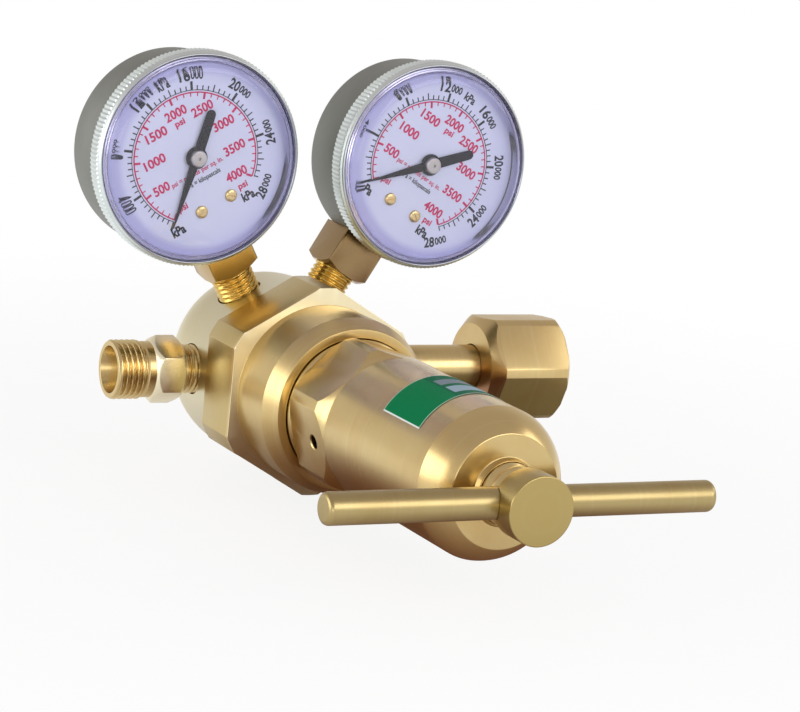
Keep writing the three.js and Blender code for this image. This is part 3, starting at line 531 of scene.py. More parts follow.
# Painted shade on the square blocks of the sockets: brown on the left gauge and nearly black-brown
# on the right one.
BLOCK_PAINTED_SHADE = {"left": (0.40, 0.25, 0.08), "right": (0.19, 0.12, 0.09)}

# %% [markdown]
# ## Body
#
# The body starts as one blank with the profile of the dome, the hexagon and the collar. Its
# inside is bored out as well, because the valve moves in it. Six cuts make the flats, and four
# countersunk ports take the fittings.

# %% Body
BODY_FLATS = 60
body = turned(
    "body_casting",
    [(0, 34), *arc((0, 7.7), 29.7, 62.3, 0, 22), (29.7, -14.5)]
    + [(33.2, -14.5), (33.2, -34.7), (27.8, -34.7), (27.8, -53), (25.3, -59.3)]
    + [(22.6, -59.3), (22.6, -44), (12.3, -44), (12.3, -18), (10, -18), (10, -2)]
    + [(8.3, -2), (8.3, 5.5), (6.5, 5.5), (6.5, 25), (0, 25)],
    centre=AXIS,
    steps=144,
    soften=0,
)
cut_flats(body, BODY_FLATS, "Y", AXIS)
soften_edges(body, 0.25, SHARP, 4)


def port_tool(name, radius, turn):
    """A drill with a countersink, pointing along X from the ports' centre and then turned."""
    flare = radius + 1.0
    profile = [(0, 17.7), (radius, 17.7), (radius, 28.6), (flare, 30.2), (flare, 36), (0, 36)]
    tool = turned(name, profile, "X", (0, 0, 0), 64, 0)
    tool.rotation_euler = (0, math.radians(turn), 0)
    tool.location = (PORTS * MM, 0, 0)
    apply_place(tool)
    return tool


drill(
    body,
    port_tool("inlet_port", 7.65, 0),
    port_tool("outlet_port", 8.1, 180),
    port_tool("left_port", 7.15, -120),
    port_tool("right_port", 7.15, -60),
)
finish_piece(body, body_brass, ["body"])

# %% [markdown]
# ## Bonnet
#
# The spring housing is a long turned tube with a rounded nose. Its hexagon is narrower than
# the tube at the flats, so it is cut from a blank of its own and the two are joined. A vent
# hole goes through one flat.

# %% Bonnet
BONNET_FLATS, BONNET_TURN = 43, -14
VENT_PLACE, VENT_TURN = -76.2, 104  # y of the hole's axis, and degrees from the top
bonnet_tube = turned(
    "bonnet_tube",
    [(18.5, -44.3), (22.3, -44.3), (22.3, -60.4), (21.6, -61.0), (21.2, -84.2), (21.9, -84.9)]
    + [(21.9, -85.5), (22.3, -86.1), (22.3, -145.1), *arc((4.82, -141.3), 18, -13.8, -49.5, 16)]
    + [(9.9, -155), (9.1, -157), (9.3, -157), (9.3, -128), (18.5, -128), (18.5, -44.3)],
    centre=AXIS,
    steps=144,
    soften=0.2,
)
bonnet_hex = turned(
    "bonnet_hex",
    [(19.5, -60.8), (21.8, -60.8), (24, -63), (24, -80.2), (21.8, -83.3), (21.3, -84.6)]
    + [(19.5, -84.6), (19.5, -60.8)],
    centre=AXIS,
    steps=144,
    soften=0,
)
cut_flats(bonnet_hex, BONNET_FLATS, "Y", AXIS, BONNET_TURN)
soften_edges(bonnet_hex)
for target in (bonnet_tube, bonnet_hex):
    vent = turned(
        "vent",
        [(0, 15), (2.1, 15), (2.1, 21.15), (2.6, 21.65), (2.6, 30), (0, 30)],
        "Z",
        steps=40,
        soften=0,
    )
    vent.rotation_euler = (0, -math.radians(VENT_TURN), 0)
    vent.location = (PORTS * MM, VENT_PLACE * MM, 0)
    apply_place(vent)
    drill(target, vent)
bonnet = join("bonnet_housing", [bonnet_tube, bonnet_hex])
finish_piece(bonnet, housing_brass, ["bonnet"], 12)

# %% [markdown]
# ## Adjusting screw and T-bar
#
# A coarse thread leads into a round head, and the T-bar passes through a hole across the head.
# The bar's ends are turned with a small chamfer.

# %% Handle
SCREW_PITCH = 4
screw = turned(
    "adjusting_screw_turned",
    [(0, -111.3), (4, -111.3), *rings(9, -116.3, -165, SCREW_PITCH, 10), (9.2, -165.6)]
    + [(9.95, -166), (9.95, -175.7), (0, -175.7)],
    centre=AXIS,
    steps=96,
    soften=0.45,
)
cut_thread(screw, "Y", AXIS, -165.2, -116.4, SCREW_PITCH, 1.5, 9)
hole_profile = [(0, -20), (4.75, -20), (4.75, 20), (0, 20)]
cross_hole = turned("cross_hole", hole_profile, "X", BAR_CENTRE, 64, 0)
drill(screw, cross_hole)
finish_piece(screw, screw_brass, ["adjusting_screw"], body="handle")

bar = turned(
    "t_bar_turned",
    [(0, -60.3), (3.5, -60.3), (4.2, -59.9), (4.55, -59.1), (4.55, 59.1), (4.2, 59.9)]
    + [(3.5, 60.3), (0, 60.3)],
    "X", BAR_CENTRE, 64, 0.3,
)
finish_piece(bar, handle_brass, ["t_bar"], body="handle")

# %% [markdown]
# ## Outlet fitting
#
# This fitting was cut more brightly than the body, and its hexagon carries a pale painted
# highlight. Its open end carries the hose thread round a conical seat, then come a plain collar, a
# hexagon chamfered at both ends, and the pipe thread that screws into the body.

# %% Outlet
PIPE_PITCH, HOSE_PITCH = 1.6, 1.81
OUTLET_FLATS = 19.2
outlet = turned(
    "outlet_turned",
    [(3.2, -18), (7.8, -18), *rings(7.8, -19, -33.2, PIPE_PITCH), (7.2, -34.5), (8.9, -36)]
    + [(8.9, -46.3), (8.35, -46.9), (8.35, -47.3)]
    + [*rings(9.4, -47.9, -56.1, HOSE_PITCH, 16)]
    + [(8.9, -56.8), (7.5, -56.8), (5, -46.8), (3.2, -46.6), (3.2, -18)],
    "X", AXIS, 96, 0.12,
)
cut_thread(outlet, "X", AXIS, -33.3, -19, PIPE_PITCH, 0.65, 7.8)
cut_thread(outlet, "X", AXIS, -56.2, -47.8, HOSE_PITCH, 0.95, 9.4, 0.3)
outlet_hex = turned(
    "outlet_hex",
    [(6, -33.8), (8.8, -33.8), (11.1, -36.1), (11.1, -41.9), (8.8, -44.2), (6, -44.2), (6, -33.8)],
    "X", AXIS, 96, 0,
)
cut_flats(outlet_hex, OUTLET_FLATS, "X", AXIS, 30)
soften_edges(outlet_hex, 0.18, 20, 2)
outlet = join("outlet_fitting_turned", [outlet, outlet_hex])
finish_piece(outlet, outlet_brass, ["outlet_fitting"])

# %% [markdown]
# ## Inlet nipple and nut
#
# The nipple is a plain tube with a shoulder and a rounded nose. The nut turns freely on it, and
# its back is chamfered deeply, which gives the scalloped edge between hexagon and cone.

# %% Inlet
nipple = turned(
    "inlet_nipple_turned",
    [(2.5, 18), (7.35, 18), (7.35, 76.3), (11.2, 76.3), (11.2, 80.3), (8, 80.3), (8, 88.3)]
    + [(7.2, 90.4), (4.6, 92.3), (3.3, 92.3), (3.3, 85.7), (2.5, 85.7), (2.5, 18)],
    "X", AXIS, 96, 0.4,
)
finish_piece(nipple, nipple_brass, ["inlet_nipple"])
nut = turned(
    "inlet_nut_turned",
    [(7.65, 72.4), (14.6, 72.4), (18.4, 76.2), (18.4, 99.6), (17, 101), (13.6, 101)]
    + [(12.6, 100), (12.6, 76), (7.65, 76), (7.65, 72.4)],
    "X", AXIS, 120, 0,
)
NUT_FLATS = 33.3
NUT_TURN = 90 - 4.7 + 30  # a corner stands 4.7 degrees above the front
cut_flats(nut, NUT_FLATS, "X", AXIS, NUT_TURN)
soften_edges(nut, 0.25, 22, 2)
finish_piece(nut, nut_brass_painted_shade, ["inlet_nut"], body="nut")

# %% [markdown]
# ## Label
#
# A thin foil label is wrapped round the spring housing, and was not put on quite straight. It
# is a plain green panel with a pale border, and a darker panel with two pale bands. The strip
# is bent from a flat grid, and its print is drawn from the angle and the distance of a point.

# %% Label
LABEL_LEFT, LABEL_RIGHT = -53.5, 42.0  # degrees from the top
LABEL_FRONT, LABEL_WIDTH, LABEL_SLANT = -135.3, 22, 6.5
LABEL_RADIUS = 22.42
deselect()
bpy.ops.mesh.primitive_grid_add(x_subdivisions=96, y_subdivisions=8, size=1)
label = bpy.context.object
label.name = "label_foil"
for vertex in label.data.vertices:
    share, across = vertex.co.x + 0.5, vertex.co.y + 0.5
    angle = math.radians(LABEL_LEFT + (LABEL_RIGHT - LABEL_LEFT) * share)
    distance = LABEL_FRONT + LABEL_WIDTH * across + LABEL_SLANT * share
    sideways, upwards = LABEL_RADIUS * math.sin(angle), LABEL_RADIUS * math.cos(angle)
    vertex.co = ((PORTS + sideways) * MM, distance * MM, upwards * MM)
label.data.update()
edit(label)
bpy.ops.mesh.solidify(thickness=-0.12 * MM)
face_outwards()
deselect()
foil = Finish("printed_green_foil", (0.0, 0.20, 0.07), 0.45, Specular_IOR_Level=0.05)
lx, ly, lz = foil.split(foil.place((PORTS * MM, LABEL_FRONT * MM, 0)))
around_it = (foil.maths("ARCTAN2", lx, lz) * (180 / math.pi) - LABEL_LEFT) / (
    LABEL_RIGHT - LABEL_LEFT
)
across = (ly - around_it * (LABEL_SLANT * MM)) / (LABEL_WIDTH * MM)
second = around_it > 0.42
near_edge = foil.maths("MINIMUM", across, 1 - across) < 0.013
left_edge = around_it < 0.012
dark = foil.blend(foil.cloud(300, 2.0), (0.0, 0.115, 0.045), (0.002, 0.14, 0.06))
green = foil.blend(
    foil.cloud(150, 3.0), (0.0, 0.165, 0.052), (0.001, 0.195, 0.068)
)
paint = foil.blend(second, green, dark)
band_one = (across > 0.55) * (across < 0.78) * (around_it > 0.45)
band_two = (across > 0.16) * (across < 0.44) * (around_it > 0.45)
paint = foil.blend(band_one, paint, (0.20, 0.25, 0.29))
paint = foil.blend(band_two, paint, (0.30, 0.42, 0.50))
paint = foil.blend(foil.maths("MAXIMUM", near_edge * 0.5, left_edge), paint, (0.72, 0.80, 0.78))
foil.set("Base Color", paint)
foil.set("Roughness", 0.4 + 0.15 * foil.cloud(800, 2.0))
foil.bump(foil.cloud(500, 2.0), 0.00002, 0.3)
finish_piece(label, foil, ["label"])

# %% [markdown]
# ## Gauges
#
# Both gauges are alike, so each piece is modelled once, upright about the dial's centre, with
# the stem's axis at depth zero and the dial facing the front. It is then copied to the left
# and to the right, tilted by 30 degrees and moved out to the end of its stem.

# %% Helper that places gauge pieces
GAUGE_REACH = 81.0
GAUGE_TILT = math.radians(30)
SIDES = {"left": -1, "right": 1}


def gauge_place(side):
    turn = Matrix.Rotation(SIDES[side] * GAUGE_TILT, 4, "Y")
    reach = turn @ Vector((0, 0, GAUGE_REACH))
    return Matrix.Translation((reach + Vector(AXIS)) * MM) @ turn


def pair(piece, name, finishes, node=None, angle=SHARP, body="regulator"):
    """Put a copy of an upright piece on each gauge, and give it its finish."""
    for side in SIDES:
        select(piece)
        bpy.ops.object.duplicate()
        copy = bpy.context.object
        copy.name = f"{name}_{side}"
        copy.matrix_world = gauge_place(side)
        apply_place(copy)
        finish = finishes[side] if isinstance(finishes, dict) else finishes
        owner = f"{body}_{side}" if body != "regulator" else body
        replaced = [f"{node}_{side}"] if node else ()
        finish_piece(copy, finish, replaced, angle, owner)
    bpy.data.objects.remove(piece)


def gauge_finishes(make):
    """One finish for each gauge, whose pattern is centred on the gauge."""
    return {
        side: make(side, gauge_place(side).translation / MM, gauge_place(side).to_euler())
        for side in SIDES
    }


# %% [markdown]
# ## Gauge sockets
#
# The square block is bar stock with its lower end turned to a cone, which leaves four small
# arcs. The stem below carries a tapered pipe thread, and both come from one piece of brass.

# %% Sockets
STEM_END = 17.75 - GAUGE_REACH
BLOCK_END = 37.2 - GAUGE_REACH
STEM_RADIUS = 6.85
BLOCK_FLATS = 15.9
socket = turned(
    "socket_stem",
    [(1.4, STEM_END), (STEM_RADIUS, STEM_END)]
    + [*rings(STEM_RADIUS, STEM_END + 1, BLOCK_END - 0.1, PIPE_PITCH, 12)]
    + [(6.3, BLOCK_END), (6.3, BLOCK_END + 3), (5, BLOCK_END + 3), (5, -19), (1.4, -19)]
    + [(1.4, STEM_END)],
    "Z",
    steps=72,
    soften=0.15,
)
cut_thread(socket, "Z", (0, 0, 0), BLOCK_END - 13, BLOCK_END - 0.2, PIPE_PITCH, 0.6, STEM_RADIUS)
block = turned(
    "socket_block",
    [(5.4, BLOCK_END), (8.25, BLOCK_END), (11, BLOCK_END + 1.6), (11.1, -28), (5.4, -28)]
    + [(5.4, BLOCK_END)],
    "Z",
    steps=96,
    soften=0,
)
cut_flats(block, BLOCK_FLATS, "Z", count=4)
drill(
    block,
    turned("case_round", [(0, -9), (31.32, -9), (31.32, 9), (0, 9)], "Y", steps=192, soften=0),
)
soften_edges(block, 0.3, 30, 2)
pair(
    join("socket", [socket, block]),
    "gauge_socket_turned",
    gauge_finishes(
        lambda side, at, turn: brass(
            f"socket_brass_{side}", at, (math.radians(90), turn[1], 0), 0.24, 0.1, GOLD,
            # The square block above the stem carries the painted shade.
            [(-1000, 1000, 7.2, BLOCK_PAINTED_SHADE[side], 0.75)],
        )
    ),
    "gauge_socket",
)

# %% [markdown]
# ## Gauge cases and bezels
#
# The case is a drawn steel cup with a dull plating. The bezel is rolled from bright metal: its
# rim carries a fine straight knurl, which is real geometry here, and its front edge is folded
# over the lens.

# %% Case finish
def case_metal(side, at, turn):
    finish = Finish(f"dull_plated_steel_{side}", (0.21, 0.215, 0.195), 0.45, 0.75)
    where = finish.place([value * MM for value in at], turn)
    x, y, z = finish.split(where)
    fine = finish.noise(finish.vector(x * 260, y * 6000, z * 260), 1.0, 3.0)
    cloud = finish.noise(where, 45, 3.0)
    finish.set("Base Color", finish.blend(cloud, (0.17, 0.175, 0.15), (0.30, 0.31, 0.29)))
    finish.set("Roughness", 0.4 + 0.16 * fine + 0.1 * cloud)
    finish.bump(fine, 0.00002, 0.4)
    return finish


def bezel_metal(side, at, turn):
    finish = Finish(f"rolled_bright_metal_{side}", (0.80, 0.81, 0.78), 0.22, 1.0)
    where, y, _, radius = finish.axis(at, turn)
    fine = finish.noise(finish.vector(radius * 7000, y * 7000), 1.0, 2.0)
    cloud = finish.noise(where, 120, 3.0)
    rim = finish.smooth(radius, 31.9 * MM, 32.5 * MM)
    white = finish.blend(cloud, (0.80, 0.86, 0.85), (0.62, 0.68, 0.67))
    # Inside the knurled rim the folded lip is painted dark blue-grey: painted shade of the gap
    # between the lip and the lens.
    finish.set("Base Color", finish.blend(rim, (0.30, 0.31, 0.36), white))
    finish.set("Roughness", 0.10 + 0.2 * rim + 0.14 * fine)
    finish.bump(fine, 0.00001, 0.4)
    return finish


# %% [markdown]
# The case is a cup with a rounded back edge, and a hole where the socket's tube comes in.

# %% Cases
case = turned(
    "case",
    [(0, 7.5), *arc((28.3, 4.5), 3, 90, 0, 8), (31.3, -16.4), (30.1, -16.4)]
    + [(30.1, 4.5), *arc((28.3, 4.5), 1.8, 0, 90, 6), (0, 6.3)],
    steps=144,
    soften=0.15,
)
drill(case, turned("case_hole", [(0, -34), (5.05, -34), (5.05, -27), (0, -27)], "Z", steps=48))
pair(case, "gauge_case_drawn", gauge_finishes(case_metal), "gauge_case")

# %% [markdown]
# The bezel is turned with a folded lip. Its knurl is a wave of fine teeth, made by moving the
# vertices of the rim inwards, and each tooth is four vertices wide.

# %% Bezels
KNURLS = 150
KNURL_DEPTH = 0.011  # as a share of the radius
bezel = turned(
    "bezel",
    [(31.55, -13.7), (32.5, -13.7), (33.4, -14.3), (33.4, -19.4), (33, -20)]
    + [(32.6, -20.3), (32.4, -20.9), (32.1, -21.1), (31.7, -20.9), (31.45, -20.4)]
    + [(31.45, -17.9), (31.55, -17.7), (31.55, -13.7)],
    steps=KNURLS * 4,
    soften=0.2,
)
for vertex in bezel.data.vertices:
    x, y, z = vertex.co / MM
    radius = math.hypot(x, z)
    if radius > 32.9 and -19.9 < y < -13.9:
        wave = 0.5 + 0.5 * math.cos(math.atan2(z, x) * KNURLS)
        vertex.co.x *= 1 - KNURL_DEPTH * wave
        vertex.co.z *= 1 - KNURL_DEPTH * wave
bezel.data.update()
pair(bezel, "bezel_knurled", gauge_finishes(bezel_metal), "bezel", 50)

# %% [markdown]
# ## Lenses and gaskets
#
# The lens is a moulded shell of clear plastic. Its shoulder is round outside and nearly square
# inside, slightly violet and not quite clear, so the numbers behind it shrink and fade. Plastic
# this clear throws nearly no shadow, so rays towards a lamp pass straight through. A pale gasket
# ring sits under the rim.

# %% Lenses and gaskets
def clear_plastic(side, at, turn):
    finish = Finish(f"clear_plastic_{side}", (0.97, 0.97, 1.0), 0.02, 0.0, IOR=1.45)
    finish.set("Transmission Weight", 1.0)
    finish.set("Specular IOR Level", 0.25)
    where, _, _, radius = finish.axis(at, turn)
    shoulder = finish.smooth(radius, 25.4 * MM, 28.4 * MM)
    ripple = finish.noise(where, 160, 2.0)
    finish.set("Base Color", finish.blend(shoulder, (0.97, 0.97, 1.0), (0.74, 0.72, 0.90)))
    finish.set("Roughness", 0.01 + shoulder * (0.04 + 0.16 * ripple))
    passing = finish.add("ShaderNodeLightPath", {}, {}, "Is Shadow Ray")
    clear = finish.add("ShaderNodeBsdfTransparent", {}, {"Color": (0.93, 0.93, 0.97, 1)})
    finish.overlay(passing, clear)
    return finish


lens = turned(
    "lens",
    [(0, -23.7), *arc((26.6, -19), 4.7, -90, -12.3, 18), (30.2, -20)]
    + [*arc((28.6, -20.6), 1.6, 0, -90, 10), (0, -22.2)],
    steps=160,
    soften=0.1,
)
pair(lens, "lens_polished", gauge_finishes(clear_plastic), "lens")

rubber = Finish("pale_rubber", (0.54, 0.55, 0.68), 0.45)
grain = rubber.cloud(900, 3.0)
rubber.set("Roughness", 0.4 + 0.2 * grain)
rubber.bump(grain, 0.00003, 0.4)
gasket = turned(
    "gasket",
    [(30.2, -16.7), (31.4, -16.7), (31.4, -19.9), (30.2, -19.9), (30.2, -16.7)],
    steps=128,
    soften=0.3,
)
pair(gasket, "gasket_moulded", rubber, "lens_gasket")

# %% [markdown]
# ## Dials
#
# A dial is a painted disc with two printed scales over 270 degrees. The outer scale is black
# and in kilopascals, and the inner one is crimson and in pounds per square inch. Each mark is a
# thin solid that lies on the paint, so the print stays sharp at any distance.

# %% Dial discs
card = Finish("dial_paint", (0.57, 0.59, 0.75), 0.5, Specular_IOR_Level=0.2)
speckle = card.cloud(60, 2.0)
card.set("Base Color", card.blend(speckle, (0.55, 0.575, 0.73), (0.60, 0.62, 0.78)))
disc = turned(
    "disc",
    [(0.8, -16.3), (30, -16.3), (30, -15.6), (0.8, -15.6), (0.8, -16.3)],
    steps=128,
    soften=0.1,
)
pair(disc, "dial_painted", card, "dial")

# %% [markdown]
# The print is built from four kinds of mark: a tick, the long arc of a scale, a word, and a
# number that stands along the scale with its last three noughts made smaller.

# %% Helpers for print
PRINT_FACE = -16.34
INK = 0.03  # thickness of the print
SCALE_START, SCALE_TURN = -135, 270  # degrees from the top


def mark(angle, inner, outer, width):
    """One tick of a scale: a thin bar at an angle to the right of the top."""
    deselect()
    bpy.ops.mesh.primitive_cube_add(size=MM)
    bar = bpy.context.object
    bar.data.transform(Matrix.Diagonal((width, INK, outer - inner, 1)))
    turn = Matrix.Rotation(math.radians(angle), 4, "Y")
    middle = Vector((0, PRINT_FACE, (inner + outer) / 2)) * MM
    bar.data.transform(turn @ Matrix.Translation(middle))
    return bar


def scale_line(inner, outer):
    """A thin arc along three quarters of the dial, with its ends at the scale's ends."""
    deselect()
    bpy.ops.mesh.primitive_plane_add(size=MM)
    line = bpy.context.object
    start = Matrix.Rotation(math.radians(SCALE_START), 4, "Y")
    corners = [(inner, -INK / 2), (outer, -INK / 2), (inner, INK / 2), (outer, INK / 2)]
    for vertex, (radius, depth) in zip(line.data.vertices, corners):
        vertex.co = start @ (Vector((0, PRINT_FACE + depth, radius)) * MM)
    line.data.update()
    edit(line)
    bpy.ops.mesh.spin(
        steps=120, angle=math.radians(SCALE_TURN), center=(0, 0, 0), axis=(0, -1, 0)
    )
    bpy.ops.mesh.select_all(action="SELECT")
    bpy.ops.mesh.remove_doubles(threshold=1e-7)
    bpy.ops.mesh.fill_holes(sides=4)
    face_outwards()
    deselect()
    return line


def words(text, x, z, height, width, turn=0.0, weight=0.03):
    """Printed characters of a height and width, centred on a point, as a thin solid."""
    deselect()
    bpy.ops.object.text_add()
    line = bpy.context.object
    line.data.body = text
    line.data.offset = weight
    line.data.resolution_u = 3
    bpy.ops.object.convert(target="MESH")
    shape = bpy.context.object
    edit(shape)
    bpy.ops.mesh.remove_doubles(threshold=1e-4)
    bpy.ops.mesh.extrude_region_move(TRANSFORM_OT_translate={"value": (0, 0, INK)})
    face_outwards()
    deselect()
    low = [min(vertex.co[i] for vertex in shape.data.vertices) for i in range(3)]
    high = [max(vertex.co[i] for vertex in shape.data.vertices) for i in range(3)]
    centre = Matrix.Translation([-(a + b) / 2 for a, b in zip(low, high)])
    wide, tall = width / (high[0] - low[0]) * MM, height / (high[1] - low[1]) * MM
    fit = Matrix.Diagonal((wide, tall, MM, 1))
    stand = Matrix.Rotation(math.radians(90), 4, "X")
    swing = Matrix.Rotation(math.radians(turn), 4, "Y")
    put = Matrix.Translation(Vector((x, PRINT_FACE, z)) * MM)
    shape.data.transform(put @ swing @ stand @ fit @ centre)
    return shape


NUMBERS_RADIUS = 25.4
DIGIT_STEP, NOUGHTS_STEP = 1.95, 4.3  # room along the scale, for a digit and for the noughts


def around(first, angle):
    """A number that stands along the scale: large digits, then three small noughts."""
    flip = abs(angle) > 90
    way = -1 if flip else 1
    step = DIGIT_STEP * len(first)
    whole = step + NOUGHTS_STEP
    pieces = []
    for text, offset, height, width in (
        (first, -whole / 2 + step / 2, 3.4, step - 0.25),
        ("000", whole / 2 - NOUGHTS_STEP / 2, 2.5, 4.1),
    ):
        reach = math.radians(angle) + way * offset / NUMBERS_RADIUS
        x, z = NUMBERS_RADIUS * math.sin(reach), NUMBERS_RADIUS * math.cos(reach)
        turn = math.degrees(reach) + (180 if flip else 0)
        pieces.append(words(text, x, z, height, width, turn))
    return pieces


# %% [markdown]
# The crimson scale runs from 0 to 4000 psi in 40 steps, and each fifth tick is longer. Its
# numbers stand upright.

# %% Crimson scale
crimson = []
for i in range(41):
    inner, width = (18.1, 0.72) if i % 5 == 0 else (18.9, 0.36)
    crimson.append(mark(SCALE_START + SCALE_TURN * i / 40, inner, 20.1, width))
crimson.append(scale_line(19.95, 20.38))
for text, x, z in (
    ("500", -14.0, -3.5),
    ("1000", -12.4, 5.1),
    ("1500", -8.4, 12.4),
    ("2000", 0, 15.4),
    ("2500", 8.4, 12.7),
    ("3000", 12.7, 5.3),
    ("3500", 12.8, -3.3),
    ("4000", 9.9, -11.1),
):
    crimson.append(words(text, x, z, 3.1, 1.85 * len(text)))
for x, z, width in ((0, 11.9, 3.4), (10.3, -15.6, 3.2), (-10.2, -12.4, 3.2)):
    crimson.append(words("psi", x, z, 2.7, width))
crimson.append(words("psi = pounds per sq. in.", -1.4, -4.6, 2.1, 18.5, 0, 0.02))
red_ink = Finish("crimson_ink", (0.50, 0.006, 0.09), 0.45, Specular_IOR_Level=0.1)
wear = red_ink.cloud(700, 2.0)
red_ink.set("Base Color", red_ink.blend(wear, (0.45, 0.004, 0.08), (0.58, 0.012, 0.12)))
pair(join("crimson_print", crimson), "crimson_print", red_ink, angle=5)

# %% [markdown]
# The black scale is in kilopascals. Its numbers stand along it, each with large digits and
# three small noughts.

# %% Black scale
KPA_PER_PSI = 6.894757
KPA_STEP = SCALE_TURN / (4000 * KPA_PER_PSI) * 500  # degrees between two ticks
black = [scale_line(20.75, 21.0)]
for i in range(56):
    reach = 23.6 if i % 8 == 0 else 23.0 if i % 4 == 0 else 22.3
    black.append(mark(SCALE_START + KPA_STEP * i, 20.9, reach, 0.78 if i % 8 == 0 else 0.38))
for i in range(1, 8):
    black += around(str(4 * i), SCALE_START + KPA_STEP * 8 * i)
black.append(words("kPa", 10.6, -19.1, 3.1, 4.4, 0, 0.04))
black.append(words("kPa", -14.6, -18.0, 3.2, 4.6, 0, 0.04))
black.append(words("kPa", 0, 25.0, 2.8, 4.2))
black.append(words("kPa = kilopascals", -0.6, -7.4, 2.1, 12.5, 0, 0.02))
black_ink = Finish("black_ink", (0.012, 0.013, 0.022), 0.4, Specular_IOR_Level=0.1)
wear = black_ink.cloud(700, 2.0)
black_ink.set("Base Color", black_ink.blend(wear, (0.009, 0.01, 0.018), (0.03, 0.03, 0.045)))
pair(join("black_print", black), "black_print", black_ink, angle=5)

# %% [markdown]
# ## Pointers, caps and dial screws
#
# The pointer is stamped from thin sheet: a long taper, a round hub and a short tail with a
# round end. Its outline is one polygon that is extruded, and the sheet's edges are softened.

# %% Pointers
HUB, TAIL, TAIL_END = 3.5, 1.5, -14  # two radii, and the centre of the tail's round end
POINTER_BACK, SHEET = -17.6, 0.5
outline = [(-0.15, 22.8), (-1.4, 2.8), *arc((0, 0), HUB, 120, 240, 12), (-TAIL, TAIL_END)]
outline += [*arc((0, TAIL_END), TAIL, 195, 345, 10), (TAIL, TAIL_END)]
outline += [*arc((0, 0), HUB, 298, 418, 12), (1.4, 2.8), (0.15, 22.8)]
deselect()
bpy.ops.mesh.primitive_circle_add(vertices=len(outline), radius=MM, fill_type="NGON")
pointer = bpy.context.object
rest = Matrix.Rotation(math.radians(SCALE_START), 4, "Y")
for vertex, (x, z) in zip(pointer.data.vertices, outline):
    vertex.co = rest @ (Vector((x, POINTER_BACK, z)) * MM)
pointer.data.update()
edit(pointer)
bpy.ops.mesh.extrude_region_move(TRANSFORM_OT_translate={"value": (0, SHEET * MM, 0)})
face_outwards()
soften_edges(pointer, 0.1, 40, 2)
enamel = Finish("black_enamel", (0.008, 0.007, 0.014), 0.5, Specular_IOR_Level=0.06)
dust = enamel.cloud(500, 3.0)
enamel.set("Roughness", 0.4 + 0.2 * dust)
pair(pointer, "pointer_stamped", enamel, "pointer", body="pointer_group")

# %% [markdown]
# A bright cap sits on each pointer's hub, with a small dimple in its middle. Two slotted screws
# hold each dial.

# %% Caps and dial screws
cap_metal = Finish("cap_metal", (0.46, 0.43, 0.42), 0.3, 1.0)
grain = cap_metal.cloud(1500, 2.0)
cap_metal.set("Roughness", 0.2 + 0.25 * grain)
cap = turned(
    "cap",
    [(0, -17.9), (2.6, -17.9), (2.6, -19.5), (2.3, -19.85), (0.45, -19.95), (0.3, -19.3)]
    + [(0, -19.2)],
    steps=48,
    soften=0.15,
)
pair(cap, "pointer_cap_turned", cap_metal, "pointer_cap", body="pointer_group")
SCREW_OUT, SCREW_UP = 5.4, -16.4  # from the dial's centre
for number, side in ((1, -1), (2, 1)):
    head = turned(
        "head",
        [(0, -17.15), (1.2, -17.13), (1.8, -16.9), (2, -16.65), (2, -16.35), (0.8, -16.35)]
        + [(0.8, -13.1), (0, -13.1)],
        centre=(side * SCREW_OUT, 0, SCREW_UP),
        steps=40,
        soften=0.1,
    )
    slot_tool = turned(
        "slot",
        [(0, -3), (0.22, -3), (0.22, 3), (0, 3)],
        "X",
        (side * SCREW_OUT, -17.2, SCREW_UP),
        4,
        0,
    )
    there = Matrix.Translation((side * SCREW_OUT * MM, 0, SCREW_UP * MM))
    swing = Matrix.Rotation(math.radians(35 * side), 4, "Y")
    slot_tool.data.transform(there @ swing @ there.inverted())
    drill(head, slot_tool)
    node = f"dial_screw_{number}"
    pair(head, f"{node}_slotted", dial_screw_brass, node)

# %% [markdown]
# ## Works inside
#
# The springs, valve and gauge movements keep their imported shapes, because nothing of them
# shows. Each takes a finish that suits its material, so that a section view looks right too.

# %% Finishes of the inner pieces
INNER = {
    "movement_brass": ((0.58, 0.42, 0.15), (0.70, 0.55, 0.26), 0.30, 1.0),
    "steel": ((0.50, 0.49, 0.47), (0.62, 0.61, 0.59), 0.28, 1.0),
    "spring_steel": ((0.30, 0.30, 0.31), (0.46, 0.45, 0.44), 0.35, 1.0),
    "seal_rubber": ((0.012, 0.012, 0.014), (0.03, 0.03, 0.034), 0.55, 0.0),
    "seat_plastic": ((0.72, 0.69, 0.60), (0.84, 0.82, 0.75), 0.45, 0.0),
    "filter_bronze": ((0.26, 0.15, 0.07), (0.46, 0.30, 0.15), 0.60, 1.0),
    "body_brass": (BRASS_WARM, BRASS, 0.32, 1.0),
    "thread_brass": (BRASS_WARM, BRASS, 0.28, 1.0),
}


def inner_finish(name):
    low, high, rough, metallic = INNER[name]
    finish = Finish(f"inner_{name}", high, rough, metallic)
    cloud = finish.cloud(140, 4.0)
    fine = finish.cloud(2400, 2.0)
    finish.set("Base Color", finish.blend(cloud, low, high))
    finish.set("Roughness", rough + 0.14 * (cloud - 0.5) + 0.08 * (fine - 0.5))
    finish.bump(fine, 0.00002, 0.4)
    return finish.material


ready = {}
for name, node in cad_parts.items():
    if node.hide_render:
        continue
    kind = node.material_slots[0].material.name.split(".")[0]
    if kind not in ready:
        ready[kind] = inner_finish(kind)
    for holder in node.material_slots:
        holder.material = ready[kind]
    print(name, "is finished as", kind)

# %% [markdown]
# The two coil springs are copies of their plain twins, each with a mesh of its own, and the twins
# are hidden. A real spring shortens when the handle or the valve pushes on it, but these copies
# keep their shape: each row's joint, push in mm and share are not used.

